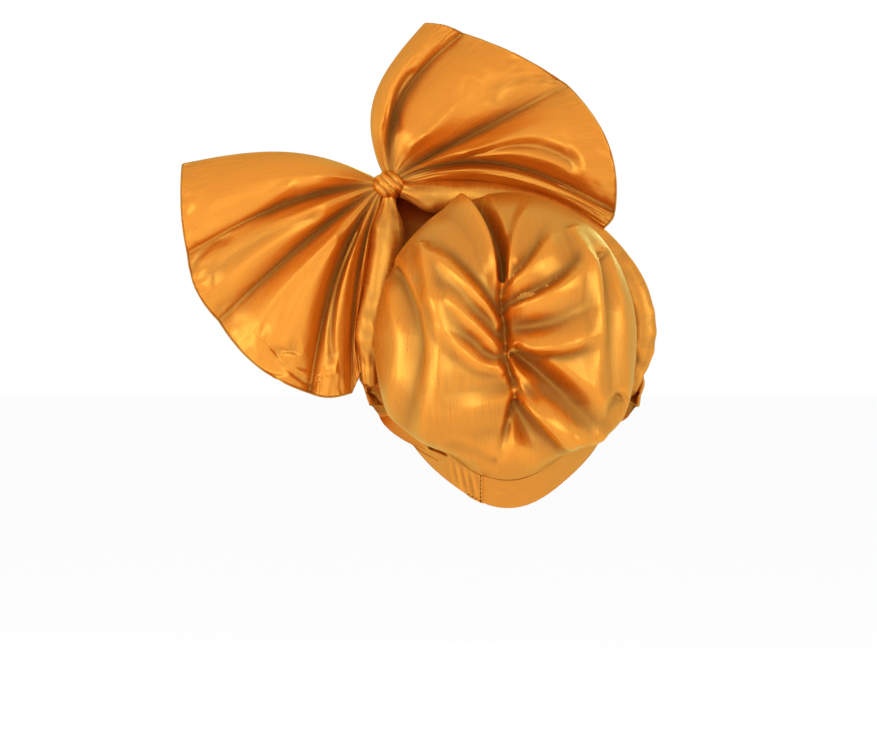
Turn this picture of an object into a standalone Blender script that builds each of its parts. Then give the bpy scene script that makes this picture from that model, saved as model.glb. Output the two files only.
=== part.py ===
"""A padded taffeta turban cap with a big pleated bow, as it sits on a head.

Metres. +X is the wearer's right, +Y is the way the wearer faces and +Z is up. The origin is the
middle of the head opening. The crown is a soft gathered bag, open below. A plain band edges it, a
standing front panel leans on the band, two padded rolls edge that panel, and both rolls and both
wings of the bow are held by one knot.
"""

import math
from collections import namedtuple

import bmesh
import bpy
import numpy as np
from mathutils import Vector
from mathutils.bvhtree import BVHTree

# Head opening and band
HEAD_HALF_WIDTH = 0.078
HEAD_HALF_LENGTH = 0.098
RIM_TILT_DEG = 28.0
NAPE_TAPER = 0.42
BAND_HEIGHT = 0.024
BAND_WALL = 0.0022
LAP_RAISE = 0.0012
LAP_AZIMUTH_DEG = (-38.0, -22.0)
LAP_EDGE_DEG = 0.23

# Crown: the gathered bag behind, and the close cap that the front panel hides
CROWN_WALL = 0.0022
CROWN_SET_BACK = 0.020
CROWN_MID_HEIGHT = 0.077
CROWN_HALF_WIDTH = 0.100
CROWN_BACK = 0.112
CROWN_RISE = 0.113
CROWN_DROP = 0.125
CAP_EASE = 0.006
CAP_FRONT = 0.093
CAP_RISE = 0.088
GROOVE_FORWARD = 0.014
GROOVE_BACK = 0.075
GROOVE_WIDTH = 0.012
GROOVE_CURVE = 1.5
CROWN_SAG = 0.011
FOOT_SHARE = 0.13
GATHER_START_SHARE = 0.20
GATHER_FACING_STEEPNESS = 3.0
SAG_BACK_STEEPNESS = 1.4
SAG_LOW_STEEPNESS = 2.0

# Rolls: an arch of padded tube, standing forward of the bag
ROLL_RADIUS = 0.0145
ROLL_NECK_RADIUS = 0.0065
ROLL_END_RADIUS = 0.009
ROLL_SWELL = 0.028
ROLL_CLEARANCE = 0.0035
ARCH_BEYOND_CROWN = 0.008
ARCH_OVER_CROWN = 0.002
ARCH_HALF_WIDTH = CROWN_HALF_WIDTH + ARCH_BEYOND_CROWN
ARCH_HEIGHT = CROWN_MID_HEIGHT + CROWN_RISE + ARCH_OVER_CROWN
ARCH_FORWARD = GROOVE_FORWARD + GROOVE_WIDTH / 2 + ROLL_CLEARANCE + ROLL_RADIUS

# Front panel
PANEL_WALL = 0.0030
PANEL_BULGE = 0.020
PANEL_LEAN = 0.014
PANEL_LEFT_FLARE = 0.016
PANEL_RIGHT_FLARE = 0.012
PANEL_END_SHARE = 0.045
PANEL_END_SWEEP = 0.12
PANEL_OVER_BAND = 0.021
BROW_DROP = 0.005
PANEL_UNDER_ROLL = 0.25
PANEL_LOW_BEND_SHARE = 0.33
PANEL_TOP_BEND_SHARE = 0.28
PANEL_TOP_FLARE_SHARE = 0.4
PANEL_ROW_CROWDING = 1.3
PANEL_ROUND_END_SHARE = 0.18
PANEL_OUT_SHARE = 0.6
PANEL_FORWARD_SHARE = 0.8
PANEL_NEAR_KNOT = 1.8
PANEL_LEFT_END_DEG = 52.0
PANEL_RIGHT_END_DEG = 80.0

# Knot and bow
KNOT_HALF = (0.0125, 0.0125, 0.0110)
WING_PAD = 0.0075
WING_HEM = 0.0026
WING_CREST = 0.024
LEFT_WING_REACH = 0.158
RIGHT_WING_REACH = 0.160
WING_FRONT_RELIEF = 0.45
WING_CREST_FADE = 0.45
WING_HEM_SHARE = 0.16
WING_EDGE_STEEPNESS = 1.6
WING_BOW_POWER = 0.85
WING_RISE_POWER = 0.55
WING_BODY_POWER = 0.6
LOBE_POWER = 0.8

SEAT_GAP = 0.0003
PANEL_CLEARANCE = 0.0025
PANEL_BAND_CLEARANCE = 0.0008
PANEL_ROLL_CLEARANCE = 0.0026
PANEL_EDGE_CLEARANCE = 0.0012

# Steps of the faceted surfaces
GATHERED_COLUMNS = 26
SIDE_COLUMNS = 5
FRONT_COLUMNS = 10
CROWN_ROWS = 28
BAND_COLUMNS = 48
ROLL_SIDES = 10
LEFT_ROLL_STATIONS = 15
RIGHT_ROLL_STATIONS = 28
PANEL_ROWS = 8
PANEL_EASING = 6
SPHERES_TO_A_STATION = 5
LOBE_COLUMNS = 6
KNOT_ROWS = 8
KNOT_SIDES = 14
CURVE_STEPS = 24

TAFFETA = (0.80, 0.36, 0.06, 1.0)
TAFFETA_ROUGHNESS = 0.4

# Where the arch of rolls runs, seen from behind: shares of its half width and of its height.
ArchPoint = namedtuple("ArchPoint", "across up")
LEFT_LIMB = [
    ArchPoint(-0.96, 0.285),
    ArchPoint(-0.965, 0.350),
    ArchPoint(-0.95, 0.470),
    ArchPoint(-0.90, 0.600),
    ArchPoint(-0.85, 0.790),
]
KNOT_POINT = ArchPoint(-0.83, 1.034)
RIGHT_LIMB = [
    ArchPoint(-0.54, 0.990),
    ArchPoint(-0.18, 0.985),
    ArchPoint(0.18, 0.945),
    ArchPoint(0.46, 0.880),
    ArchPoint(0.71, 0.775),
    ArchPoint(0.91, 0.620),
    ArchPoint(0.98, 0.480),
    ArchPoint(0.97, 0.340),
    ArchPoint(0.93, 0.255),
]

# The gathers at the back of the crown. start and end are places seen from behind, as shares of the
# crown's half width (across) and of its rise or drop from the widest height (up). bow is the path's
# bend towards its left as a share of its length, and height is the fold's, in metres: a ridge if
# positive, a valley if negative. left and right are the fold's widths on each side, looking from
# start to end, as shares of the half width, and fade is the share of the height lost by the end.
Fold = namedtuple("Fold", "start end bow height left right fade")
CROWN_FOLDS = [
    Fold((-0.05, 0.42), (-0.28, 1.00), -0.10, -0.0130, 0.15, 0.15, 0.3),
    Fold((-0.22, 0.60), (-0.34, 0.98), 0.00, 0.0060, 0.22, 0.12, 0.0),
    Fold((0.02, 0.42), (0.15, 0.87), 0.06, 0.0050, 0.14, 0.20, 0.7),
    Fold((0.02, 0.33), (0.33, 0.66), -0.07, 0.0080, 0.14, 0.26, 0.7),
    Fold((0.04, 0.20), (0.56, 0.48), -0.10, 0.0110, 0.14, 0.26, 0.5),
    Fold((0.06, -0.05), (0.57, 0.02), -0.06, 0.0100, 0.14, 0.22, 0.5),
    Fold((0.06, -0.10), (0.50, -0.40), 0.02, -0.0110, 0.16, 0.16, 0.2),
    Fold((0.10, -0.33), (0.46, -0.60), 0.03, 0.0110, 0.18, 0.14, 0.4),
    Fold((0.07, -0.40), (0.20, -0.62), 0.00, -0.0110, 0.16, 0.16, 0.3),
    Fold((-0.12, 0.15), (-0.66, 0.62), -0.04, 0.0110, 0.22, 0.14, 0.4),
    Fold((-0.10, -0.06), (-0.56, 0.33), -0.04, 0.0090, 0.20, 0.14, 0.4),
    Fold((-0.10, -0.18), (-0.52, 0.28), 0.14, 0.0060, 0.16, 0.14, 0.5),
    Fold((-0.06, -0.30), (-0.48, -0.29), 0.00, -0.0050, 0.16, 0.16, 0.8),
    Fold((-0.09, -0.64), (-0.38, -0.74), 0.00, -0.0050, 0.12, 0.12, 0.4),
    Fold((0.44, -0.50), (0.76, -0.60), -0.06, 0.0060, 0.15, 0.15, 0.4),
    Fold((0.82, -0.34), (0.64, -0.54), 0.00, -0.0070, 0.15, 0.15, 0.3),
    Fold((0.56, -0.74), (0.74, -0.66), 0.00, 0.0090, 0.22, 0.22, 0.0),
    Fold((-0.85, 0.44), (-0.80, -0.38), 0.06, -0.0060, 0.16, 0.16, 0.6),
    Fold((-0.70, 0.60), (-0.60, -0.40), 0.05, 0.0040, 0.16, 0.16, 0.6),
    Fold((0.50, 0.66), (0.68, -0.10), 0.06, 0.0040, 0.16, 0.16, 0.6),
]
SEAM_DEPTH = 0.012
SEAM_WIDTH = 0.20
SEAM_TOP = 0.45
SEAM_FOOT = -0.68
SEAM_TOP_FADE = 0.5
SEAM_FOOT_FADE = 0.25
FOLD_START_WIDTH = 0.5
FOLD_TIP_SHARE = 0.6
GATHER_LIMIT = 0.017
GATHER_BLUR = 0.045

# Each line of a wing, from the roll outwards: where it leaves the knot and where it meets the hem
# (degrees about the knot, anticlockwise from +X seen from behind), its reach as a share of the
# wing's, its sideways bow as a share of its length, the height of the lobe before it as a share of
# the crest, where that lobe's crest leans (0.5 is the middle) and how far the hem swells there.
Line = namedtuple("Line", "root hem reach bow crest lean swell")
RIGHT_LINES = [
    Line(30, -6.5, 1.11, 0.13, 0.35, 0.50, 0.01),
    Line(50, 29.7, 1.00, 0.00, 1.00, 0.45, 0.08),
    Line(74, 64.8, 0.83, 0.15, 0.80, 0.50, 0.02),
    Line(108, 78.0, 0.82, 0.18, 0.60, 0.45, 0.01),
]
LEFT_LINES = [
    Line(224, 259.8, 1.04, -0.05, 0.20, 0.50, 0.00),
    Line(212, 249.0, 1.10, -0.06, 0.60, 0.50, 0.02),
    Line(196, 218.3, 1.08, -0.02, 1.00, 0.40, 0.05),
    Line(182, 198.3, 1.06, -0.06, 0.75, 0.50, 0.03),
    Line(160, 173.7, 1.04, -0.10, 0.90, 0.45, 0.01),
]
RIGHT_ALONG_ROLL = 0.158
LEFT_ALONG_ROLL = 0.146
WING_SWEEP = 0.14

UPRIGHT = np.array([1.0, 0.0, 1.0])
LEVEL = np.array([1.0, 1.0, 0.0])
FORWARD = np.array([0.0, 1.0, 0.0])


def smooth(t):
    """0 before 0, 1 after 1, and an even ramp between."""
    t = np.clip(t, 0.0, 1.0)
    return t * t * (3.0 - 2.0 * t)


def unit(v):
    """Vectors of length 1 along the last axis."""
    v = np.asarray(v, float)
    return v / np.maximum(np.linalg.norm(v, axis=-1, keepdims=True), 1e-12)


def through(points, steps):
    """A smooth curve through a few points, with even spacing along its length."""
    points = np.asarray(points, float)
    padded = np.vstack([2 * points[0] - points[1], points, 2 * points[-1] - points[-2]])
    fine = []
    for before, start, end, after in zip(padded, padded[1:], padded[2:], padded[3:]):
        t = np.linspace(0.0, 1.0, CURVE_STEPS, endpoint=False)[:, None]
        fine.append(
            0.5 * (2 * start + (end - before) * t + (2 * before - 5 * start + 4 * end - after) * t**2
                   + (3 * start - before - 3 * end + after) * t**3)
        )
    return evenly(np.vstack([*fine, points[-1:]]), steps)


def run_along(line):
    """Each point's distance along a line."""
    return np.concatenate([[0.0], np.cumsum(np.linalg.norm(np.diff(line, axis=0), axis=1))])


def evenly(line, steps):
    """A line again, with evenly spaced points."""
    run = run_along(line)
    at = np.linspace(0.0, run[-1], steps)
    return np.stack([np.interp(at, run, line[:, k]) for k in range(line.shape[1])], axis=1)


# The head opening


def rim(azimuth, out, up):
    """A place on the tilted head opening, an oval that is narrow at the nape. azimuth runs from
    the nape towards +X, in radians; out is the distance outside the head, and up is the height
    above the opening's plane."""
    tilt = math.radians(RIM_TILT_DEG)
    azimuth, out, up = np.broadcast_arrays(azimuth, out, up)
    along = -(HEAD_HALF_LENGTH + out) * np.cos(azimuth)
    return np.stack(
        [
            (HEAD_HALF_WIDTH + out) * np.sin(azimuth - NAPE_TAPER * np.sin(azimuth)),
            along * math.cos(tilt) - up * math.sin(tilt),
            along * math.sin(tilt) + up * math.cos(tilt),
        ],
        axis=-1,
    )


def band_wall(azimuth):
    """The band's thickness, which is more where one end laps over the other."""
    start, end = np.radians(LAP_AZIMUTH_DEG)
    turned = (azimuth + math.pi) % (2 * math.pi) - math.pi
    lapped = (turned > start) & (turned < end)
    return BAND_WALL + LAP_RAISE * lapped


# The crown

CROWN_CENTRE = np.array([0.0, -CROWN_SET_BACK, CROWN_MID_HEIGHT])


def egg_radius(direction, half_width, back, front, rise, drop):
    """Distance from the crown's centre to an egg whose half lengths differ on each side."""
    along = np.where(direction[..., 1] < 0, back, front)
    up = np.where(direction[..., 2] < 0, drop, rise)
    shares = (direction[..., 0] / half_width) ** 2 + (direction[..., 1] / along) ** 2
    return 1.0 / np.sqrt(shares + (direction[..., 2] / up) ** 2)


def groove(points):
    """1 on the bag behind the groove that the panel stands in, 0 on the close cap before it."""
    below = np.clip((CROWN_MID_HEIGHT - points[..., 2]) / CROWN_DROP, 0.0, 1.0)
    line = GROOVE_FORWARD - GROOVE_BACK * below**GROOVE_CURVE
    return 1.0 - smooth((points[..., 1] - line) / GROOVE_WIDTH + 0.5)


def evened(height, across, up):
    """The mean of a height round each place, so that the facets follow the gathers evenly."""
    steps = np.array([-1.0, 0.0, 1.0]) * GATHER_BLUR
    return sum(height(across + dx, up + dy) for dx in steps for dy in steps) / len(steps) ** 2


def fold_height(across, up):
    """Height of the gathers at places seen from behind, given as shares of the crown."""
    total = -SEAM_DEPTH * np.exp(-((across / SEAM_WIDTH) ** 2))
    total = total * smooth((SEAM_TOP - up) / SEAM_TOP_FADE)
    total = total * smooth((up - SEAM_FOOT) / SEAM_FOOT_FADE)
    for fold in CROWN_FOLDS:
        start, end = np.array(fold.start), np.array(fold.end)
        run = end - start
        length = np.hypot(*run)
        ahead, side = run / length, np.array([-run[1], run[0]]) / length
        x, y = across - start[0], up - start[1]
        along = (x * ahead[0] + y * ahead[1]) / length
        held = np.clip(along, 0.0, 1.0)
        off = x * side[0] + y * side[1] - fold.bow * length * 4 * held * (1 - held)
        width = np.where(off > 0, fold.left, fold.right)
        width = width * (FOLD_START_WIDTH + (1 - FOLD_START_WIDTH) * held)
        over = np.maximum(np.maximum(-along, along - 1.0), 0.0) * length
        reach = np.sqrt((off / width) ** 2 + (over / (FOLD_TIP_SHARE * width)) ** 2)
        total = total + fold.height * (1 - fold.fade * held) * smooth(1.0 - reach)
    return GATHER_LIMIT * np.tanh(total / GATHER_LIMIT)


def crown_radius(direction):
    """Distance from the crown's centre to its smooth outer face, before the gathers."""
    bag = egg_radius(
        direction, CROWN_HALF_WIDTH, CROWN_BACK, CROWN_BACK, CROWN_RISE, CROWN_DROP
    )
    cap_half = HEAD_HALF_WIDTH + CAP_EASE
    cap = egg_radius(direction, cap_half, CROWN_BACK, CAP_FRONT, CAP_RISE, CROWN_DROP)
    behind = groove(CROWN_CENTRE + bag[..., None] * direction)
    return cap + (bag - cap) * behind, behind


def crown_azimuths():
    """Column directions round the crown, closer together behind, where the gathers are."""
    stretches = [(-65, 65, GATHERED_COLUMNS), (65, 110, SIDE_COLUMNS)]
    stretches += [(110, 250, FRONT_COLUMNS), (250, 295, SIDE_COLUMNS)]
    runs = [np.linspace(start, end, count, endpoint=False) for start, end, count in stretches]
    return np.radians(np.concatenate(runs))


def crown_surface(azimuth, height, inset):
    """The crown's skin. height runs from 0 at the band to 1 at the top; inset is how far inside
    the outer face it lies."""
    foot = rim(azimuth, band_wall(azimuth), BAND_HEIGHT + SEAT_GAP) - CROWN_CENTRE
    flat = np.hypot(foot[..., 0], foot[..., 1])
    low = np.arctan2(foot[..., 2], flat)
    tip = low + (math.pi / 2 - low) * height
    direction = np.stack(
        [
            foot[..., 0] / flat * np.cos(tip),
            foot[..., 1] / flat * np.cos(tip),
            np.sin(tip),
        ],
        axis=-1,
    )
    radius, behind = crown_radius(direction)
    at = direction * radius[..., None]
    across = at[..., 0] / CROWN_HALF_WIDTH
    up = at[..., 2] / np.where(at[..., 2] > 0, CROWN_RISE, CROWN_DROP)
    facing = smooth(0.5 - direction[..., 1] * GATHER_FACING_STEEPNESS)
    low_back = smooth(-direction[..., 1] * SAG_BACK_STEEPNESS)
    low_back = low_back * smooth(-direction[..., 2] * SAG_LOW_STEEPNESS)
    radius = radius + CROWN_SAG * low_back
    gathered = behind * facing * smooth(height / GATHER_START_SHARE)
    radius = radius + evened(fold_height, across, up) * gathered
    held = 1.0 - smooth(height / FOOT_SHARE)
    radius = radius + (np.linalg.norm(foot, axis=-1) - radius) * held
    return CROWN_CENTRE + direction * (radius - inset)[..., None]


# Rolls


def arch_points():
    """The line of the rolls' middles: the left limb from its end to the knot, then the right."""
    rows = [*LEFT_LIMB, KNOT_POINT, *RIGHT_LIMB]
    return np.array(
        [[p.across * ARCH_HALF_WIDTH, ARCH_FORWARD, p.up * ARCH_HEIGHT] for p in rows]
    )


def roll_radius(run, whole):
    """Radius of a roll at a distance from the knot, of a roll of that whole length."""
    neck = smooth(run / ROLL_SWELL)
    end = smooth((whole - run) / ROLL_SWELL)
    swell = ROLL_NECK_RADIUS + (ROLL_RADIUS - ROLL_NECK_RADIUS) * neck
    return swell + (ROLL_END_RADIUS - ROLL_RADIUS) * (1 - end) * neck


def knot_radius(direction):
    """Distance from the knot's middle to its skin."""
    shares = (np.asarray(direction) / np.array(KNOT_HALF)) ** 2
    return 1.0 / np.sqrt(shares.sum(axis=-1))


def limb(points, knot, steps):
    """The middles, radii and distances from the knot of one roll, from its neck outwards."""
    line = through(np.vstack([knot[None], points]), CURVE_STEPS * len(points))
    away = line[1:] - knot
    outside = np.linalg.norm(away, axis=1) > knot_radius(unit(away)) + SEAT_GAP
    way = unit(away[outside][0])
    start = knot + way * (knot_radius(way) + SEAT_GAP)
    line = evenly(np.vstack([start[None], line[1:][outside]]), steps)
    run = run_along(line)
    return line, roll_radius(run, run[-1]), run


def inward(line):
    """Across the line, in the plane seen from behind, on its right-hand side going along it."""
    ahead = unit(np.gradient(line, axis=0))
    return unit(np.stack([ahead[:, 2], np.zeros(len(line)), -ahead[:, 0]], axis=1))


def tube(line, radii):
    """Rings of points round a line: a ring to each point, in the plane across it."""
    ahead = unit(np.gradient(line, axis=0))
    side = inward(line)
    other = np.cross(ahead, side)
    turn = np.linspace(0, 2 * math.pi, ROLL_SIDES, endpoint=False)
    ring = side[:, None] * np.cos(turn)[None, :, None] + other[:, None] * np.sin(turn)[None, :, None]
    return line[:, None] + ring * radii[:, None, None]


# Front panel


def panel_surface(left, right, knot, tree):
    """The inner face of the front panel, from the band up to the rolls, as a grid of points."""
    line = np.vstack([left[0][::-1], knot[None], right[0]])
    radii = np.concatenate([left[1][::-1], [max(KNOT_HALF)], right[1]])
    toward = np.concatenate([inward(left[0])[::-1] * -1, np.zeros((1, 3)), inward(right[0])])
    near_knot = np.linalg.norm(line - knot, axis=1) < max(KNOT_HALF) * PANEL_NEAR_KNOT
    reach = np.where(near_knot, np.maximum(radii, max(KNOT_HALF)), radii) + SEAT_GAP
    run = np.linspace(0.0, 1.0, len(line))[:, None]
    near_left = 1.0 - smooth(run / PANEL_END_SHARE)
    near_right = 1.0 - smooth((1.0 - run) / PANEL_END_SHARE)
    at_end = near_left + near_right
    under_end = near_left * unit(line[0] - line[1]) + near_right * unit(line[-1] - line[-2])
    seat_way = (toward * PANEL_UNDER_ROLL + FORWARD) * (1.0 - at_end) + under_end
    away = unit((line - CROWN_CENTRE) * UPRIGHT)
    before = away * PANEL_OUT_SHARE + FORWARD * PANEL_FORWARD_SHARE
    ways = unit(before * (1.0 - at_end) + under_end)
    from_end = np.minimum(run, 1.0 - run)[:, 0]
    round_end = smooth(1.0 - from_end / PANEL_ROUND_END_SHARE)
    seat_gap = np.maximum(PANEL_EDGE_CLEARANCE, PANEL_ROLL_CLEARANCE * round_end)
    seats = roll_spheres(line, radii + SEAT_GAP + seat_gap)
    top = line + unit(seat_way) * reach[:, None]
    top = np.array([before_rolls(place, way, seats) for place, way in zip(top, ways)])
    turned = 360 - PANEL_LEFT_END_DEG - PANEL_RIGHT_END_DEG
    swept = run[:, 0] + PANEL_END_SWEEP * np.sin(2 * math.pi * run[:, 0])
    azimuth = -np.radians(PANEL_LEFT_END_DEG + swept * turned)
    outside = BAND_WALL + PANEL_BAND_CLEARANCE
    foot = rim(azimuth, outside, BAND_HEIGHT - PANEL_OVER_BAND)
    brow = rim(azimuth, outside, BAND_HEIGHT - BROW_DROP)
    out = unit(((brow + top) / 2 - CROWN_CENTRE) * LEVEL)
    lean = out * at_end + FORWARD * (1.0 - at_end)
    flare = PANEL_BULGE + PANEL_LEFT_FLARE * near_left + PANEL_RIGHT_FLARE * near_right
    first = brow + out * flare + (top - brow) * PANEL_LOW_BEND_SHARE
    second = top + lean * PANEL_LEAN + (brow - top) * PANEL_TOP_BEND_SHARE
    second = second + out * flare * PANEL_TOP_FLARE_SHARE
    rise = (np.linspace(0.0, 1.0, PANEL_ROWS) ** PANEL_ROW_CROWDING)[:, None, None]
    fall = 1.0 - rise
    grid = brow * fall**3 + 3 * first * fall**2 * rise + 3 * second * fall * rise**2 + top * rise**3
    spheres = roll_spheres(line, radii + SEAT_GAP + PANEL_ROLL_CLEARANCE)
    for _ in range(PANEL_EASING):
        grid[1:-1, 1:-1] = (grid[1:-1, :-2] + 2 * grid[1:-1, 1:-1] + grid[1:-1, 2:]) / 4
        grid[1:-1] = (grid[:-2] + 4 * grid[1:-1] + grid[2:]) / 6
        for row in grid[1:-1]:
            for k, place in enumerate(row):
                row[k] = before_rolls(outside_crown(place, tree), ways[k], spheres)
    return np.concatenate([foot[None], grid])


def outside_crown(place, tree):
    """Moves a place outwards from the crown's centre until it is clear of the crown."""
    way = unit(place - CROWN_CENTRE)
    hit = tree.ray_cast(Vector(CROWN_CENTRE + way), Vector(-way), 1.0)[0]
    if hit is None:
        return place
    least = np.linalg.norm(np.array(hit) - CROWN_CENTRE) + PANEL_CLEARANCE
    return place + way * max(0.0, least - np.linalg.norm(place - CROWN_CENTRE))


def roll_spheres(line, reach):
    """Spheres close together along the rolls: their middles and radii."""
    at = np.linspace(0, len(line) - 1, SPHERES_TO_A_STATION * len(line))
    known = np.arange(len(line))
    middles = np.stack([np.interp(at, known, line[:, k]) for k in range(3)], axis=1)
    return middles, np.interp(at, known, reach)


def before_rolls(place, way, spheres):
    """Moves a place along way until no part of the rolls is ahead of it."""
    middles, reach = spheres
    away = place - middles
    back = away @ way
    hidden = back**2 - (away**2).sum(axis=1) + reach**2
    ahead = np.sqrt(np.maximum(hidden, 0.0)) - back
    return place + way * max(0.0, ahead[hidden > 0].max(initial=0.0))


def panel_outer(grid):
    """The panel's outer face: the inner one moved out by the wall."""
    across = np.gradient(grid, axis=1)
    up = np.gradient(grid, axis=0)
    normal = unit(np.cross(up, across))
    outward = grid - CROWN_CENTRE
    normal *= np.sign((normal * outward).sum(axis=-1, keepdims=True))
    return grid + normal * PANEL_WALL


# Bow


def wing_faces(knot, roll, lines, along_roll, wing_reach, sign):
    """The faces of a wing towards the wearer's back and front, as two grids of points: a row to
    each distance from the knot, a column to each step across. sign is 1 where the wing lies
    anticlockwise of its roll, seen from behind, and -1 where it lies clockwise."""
    middle, radii, run = roll
    rows = run <= along_roll
    v = run[rows] / run[rows][-1]
    edge = (middle - sign * inward(middle) * (radii + SEAT_GAP)[:, None])[rows]
    ribs = [edge[:, [0, 2]]]
    flat_knot = knot[[0, 2]]
    for line in lines:
        root_turn, hem_turn = math.radians(line.root), math.radians(line.hem)
        root_way = np.array([math.cos(root_turn), math.sin(root_turn)])
        seat = knot_radius([root_way[0], 0.0, root_way[1]]) + SEAT_GAP
        root = flat_knot + root_way * seat
        hem_way = np.array([math.cos(hem_turn), math.sin(hem_turn)])
        hem = flat_knot + hem_way * line.reach * wing_reach
        side_way = np.array([-hem_way[1], hem_way[0]])
        bend = line.bow * line.reach * wing_reach * np.sin(math.pi * v**WING_BOW_POWER)
        ribs.append(root + (hem - root) * v[:, None] + side_way * bend[:, None])
    grid, heights, sweeps = [], [], []
    for k, line in enumerate(lines):
        steps = np.arange(LOBE_COLUMNS + (k == len(lines) - 1)) / LOBE_COLUMNS
        for w in steps:
            place = ribs[k] * (1 - w) + ribs[k + 1] * w
            arc = np.sin(math.pi * w)
            place = place + (place - flat_knot) * (line.swell * arc * v**2)[:, None]
            way = unit(place[0] - flat_knot)
            clear = knot_radius([way[0], 0.0, way[1]]) + SEAT_GAP
            short = max(0.0, clear - np.linalg.norm(place[0] - flat_knot))
            place[0] = place[0] + way * short
            lean = w ** (math.log(0.5) / math.log(line.lean))
            body = np.sin(math.pi * v**WING_RISE_POWER) ** WING_BODY_POWER
            body = body * (1 - WING_CREST_FADE * v) * (v > 0)
            lobe = np.sin(math.pi * lean) ** LOBE_POWER
            heights.append(WING_CREST * line.crest * lobe * body)
            sweeps.append((k + w) / len(lines))
            grid.append(place)
    grid = np.stack(grid, axis=1)
    heights = np.stack(heights, axis=1)
    sweep = np.array(sweeps)[None]
    away = np.linalg.norm(grid - flat_knot, axis=-1)
    depth = ARCH_FORWARD + WING_SWEEP * away * sweep
    from_edge = np.minimum(sweep, 1 - sweep) * len(lines)
    rim_share = np.minimum(1.0, from_edge * WING_EDGE_STEEPNESS)
    padded = smooth(rim_share) * smooth((1 - v[:, None]) / WING_HEM_SHARE)
    pad = WING_HEM + (WING_PAD - WING_HEM) * padded
    back = depth - heights - pad / 2
    front = depth - heights * WING_FRONT_RELIEF + pad / 2
    return tuple(np.stack([grid[..., 0], y, grid[..., 1]], axis=-1) for y in (back, front))


# Solids


def add_solid(name, points, faces):
    """One closed, outward-facing mesh object with its own cut of the taffeta on it."""
    mesh = bpy.data.meshes.new(name)
    mesh.from_pydata([tuple(p) for p in points], [], faces)
    shell = bmesh.new()
    shell.from_mesh(mesh)
    bmesh.ops.recalc_face_normals(shell, faces=shell.faces)
    shell.to_mesh(mesh)
    shell.free()
    obj = bpy.data.objects.new(name, mesh)
    bpy.context.scene.collection.objects.link(obj)
    mesh.materials.append(taffeta(f"{name}_taffeta"))
    mesh.shade_smooth()
    mesh.set_sharp_from_angle(angle=math.radians(50))
    return obj


def taffeta(name):
    """A piece's finish: the changing taffeta that the whole cap is cut from."""
    made = bpy.data.materials.new(name)
    made.use_nodes = True
    shader = made.node_tree.nodes["Principled BSDF"]
    shader.inputs["Base Color"].default_value = TAFFETA
    shader.inputs["Roughness"].default_value = TAFFETA_ROUGHNESS
    shader.inputs["Metallic"].default_value = 0.0
    return made


def walls(name, outer, inner, closed):
    """A solid between two grids of the same size, joined along every open edge. closed says that
    the last column meets the first."""
    rows, columns = outer.shape[:2]
    points = np.vstack([outer.reshape(-1, 3), inner.reshape(-1, 3)])
    base = rows * columns
    last = columns if closed else columns - 1
    faces = []
    for r in range(rows - 1):
        for c in range(last):
            d = (c + 1) % columns
            low, high = r * columns, (r + 1) * columns
            faces.append((low + c, low + d, high + d, high + c))
            faces.append((base + low + c, base + high + c, base + high + d, base + low + d))
    for c in range(last):
        d = (c + 1) % columns
        top = (rows - 1) * columns
        faces.append((d, c, base + c, base + d))
        faces.append((top + c, top + d, base + top + d, base + top + c))
    if not closed:
        for r in range(rows - 1):
            for c, turn in ((0, 1), (columns - 1, -1)):
                low, high = r * columns + c, (r + 1) * columns + c
                faces.append((low, high, base + high, base + low)[::turn])
    return add_solid(name, points, faces)


def domed(name, outer, inner, outer_tip, inner_tip):
    """Like walls, for a closed ring of columns whose top row ends in one point on each face."""
    points = np.vstack([outer.reshape(-1, 3), inner.reshape(-1, 3), outer_tip, inner_tip])
    rows, columns = outer.shape[:2]
    base = rows * columns
    faces = []
    for c in range(columns):
        d = (c + 1) % columns
        for r in range(rows - 1):
            low, high = r * columns, (r + 1) * columns
            faces.append((low + c, low + d, high + d, high + c))
            faces.append((base + low + c, base + high + c, base + high + d, base + low + d))
        top = (rows - 1) * columns
        faces.append((top + c, top + d, 2 * base))
        faces.append((base + top + d, base + top + c, 2 * base + 1))
        faces.append((d, c, base + c, base + d))
    return add_solid(name, points, faces)


def capped_tube(name, rings):
    """A solid tube through rings of points, closed by a flat face at each end."""
    count, sides = rings.shape[:2]
    faces = [tuple(range(sides)), tuple((count - 1) * sides + k for k in reversed(range(sides)))]
    for r in range(count - 1):
        for k in range(sides):
            n = (k + 1) % sides
            low, high = r * sides, (r + 1) * sides
            faces.append((low + k, high + k, high + n, low + n))
    return add_solid(name, rings.reshape(-1, 3), faces)


def make_band():
    """The plain band round the head opening, lapped near the nape."""
    azimuth = np.linspace(-math.pi, math.pi, BAND_COLUMNS, endpoint=False)
    edges = np.repeat(LAP_AZIMUTH_DEG, 2) + np.array([-1, 1, -1, 1]) * LAP_EDGE_DEG
    azimuth = np.sort(np.concatenate([azimuth, np.radians(edges)]))[None]
    up = np.linspace(0.0, BAND_HEIGHT, 3)[:, None]
    outer = rim(azimuth, band_wall(azimuth), up)
    inner = rim(azimuth, 0.0, up)
    return walls("head_band", outer, inner, closed=True)


def make_crown():
    """The hollow crown: a gathered bag behind and a close cap before, open at the band."""
    azimuth = crown_azimuths()[None]
    height = np.linspace(0.0, 1.0, CROWN_ROWS, endpoint=False)[:, None]
    outer = crown_surface(azimuth, height, 0.0)
    inner = crown_surface(azimuth, height, CROWN_WALL)
    tip = crown_surface(np.zeros(1), np.ones(1), 0.0)
    tip_inner = crown_surface(np.zeros(1), np.ones(1), CROWN_WALL)
    return domed("crown", outer, inner, tip, tip_inner)


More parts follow.
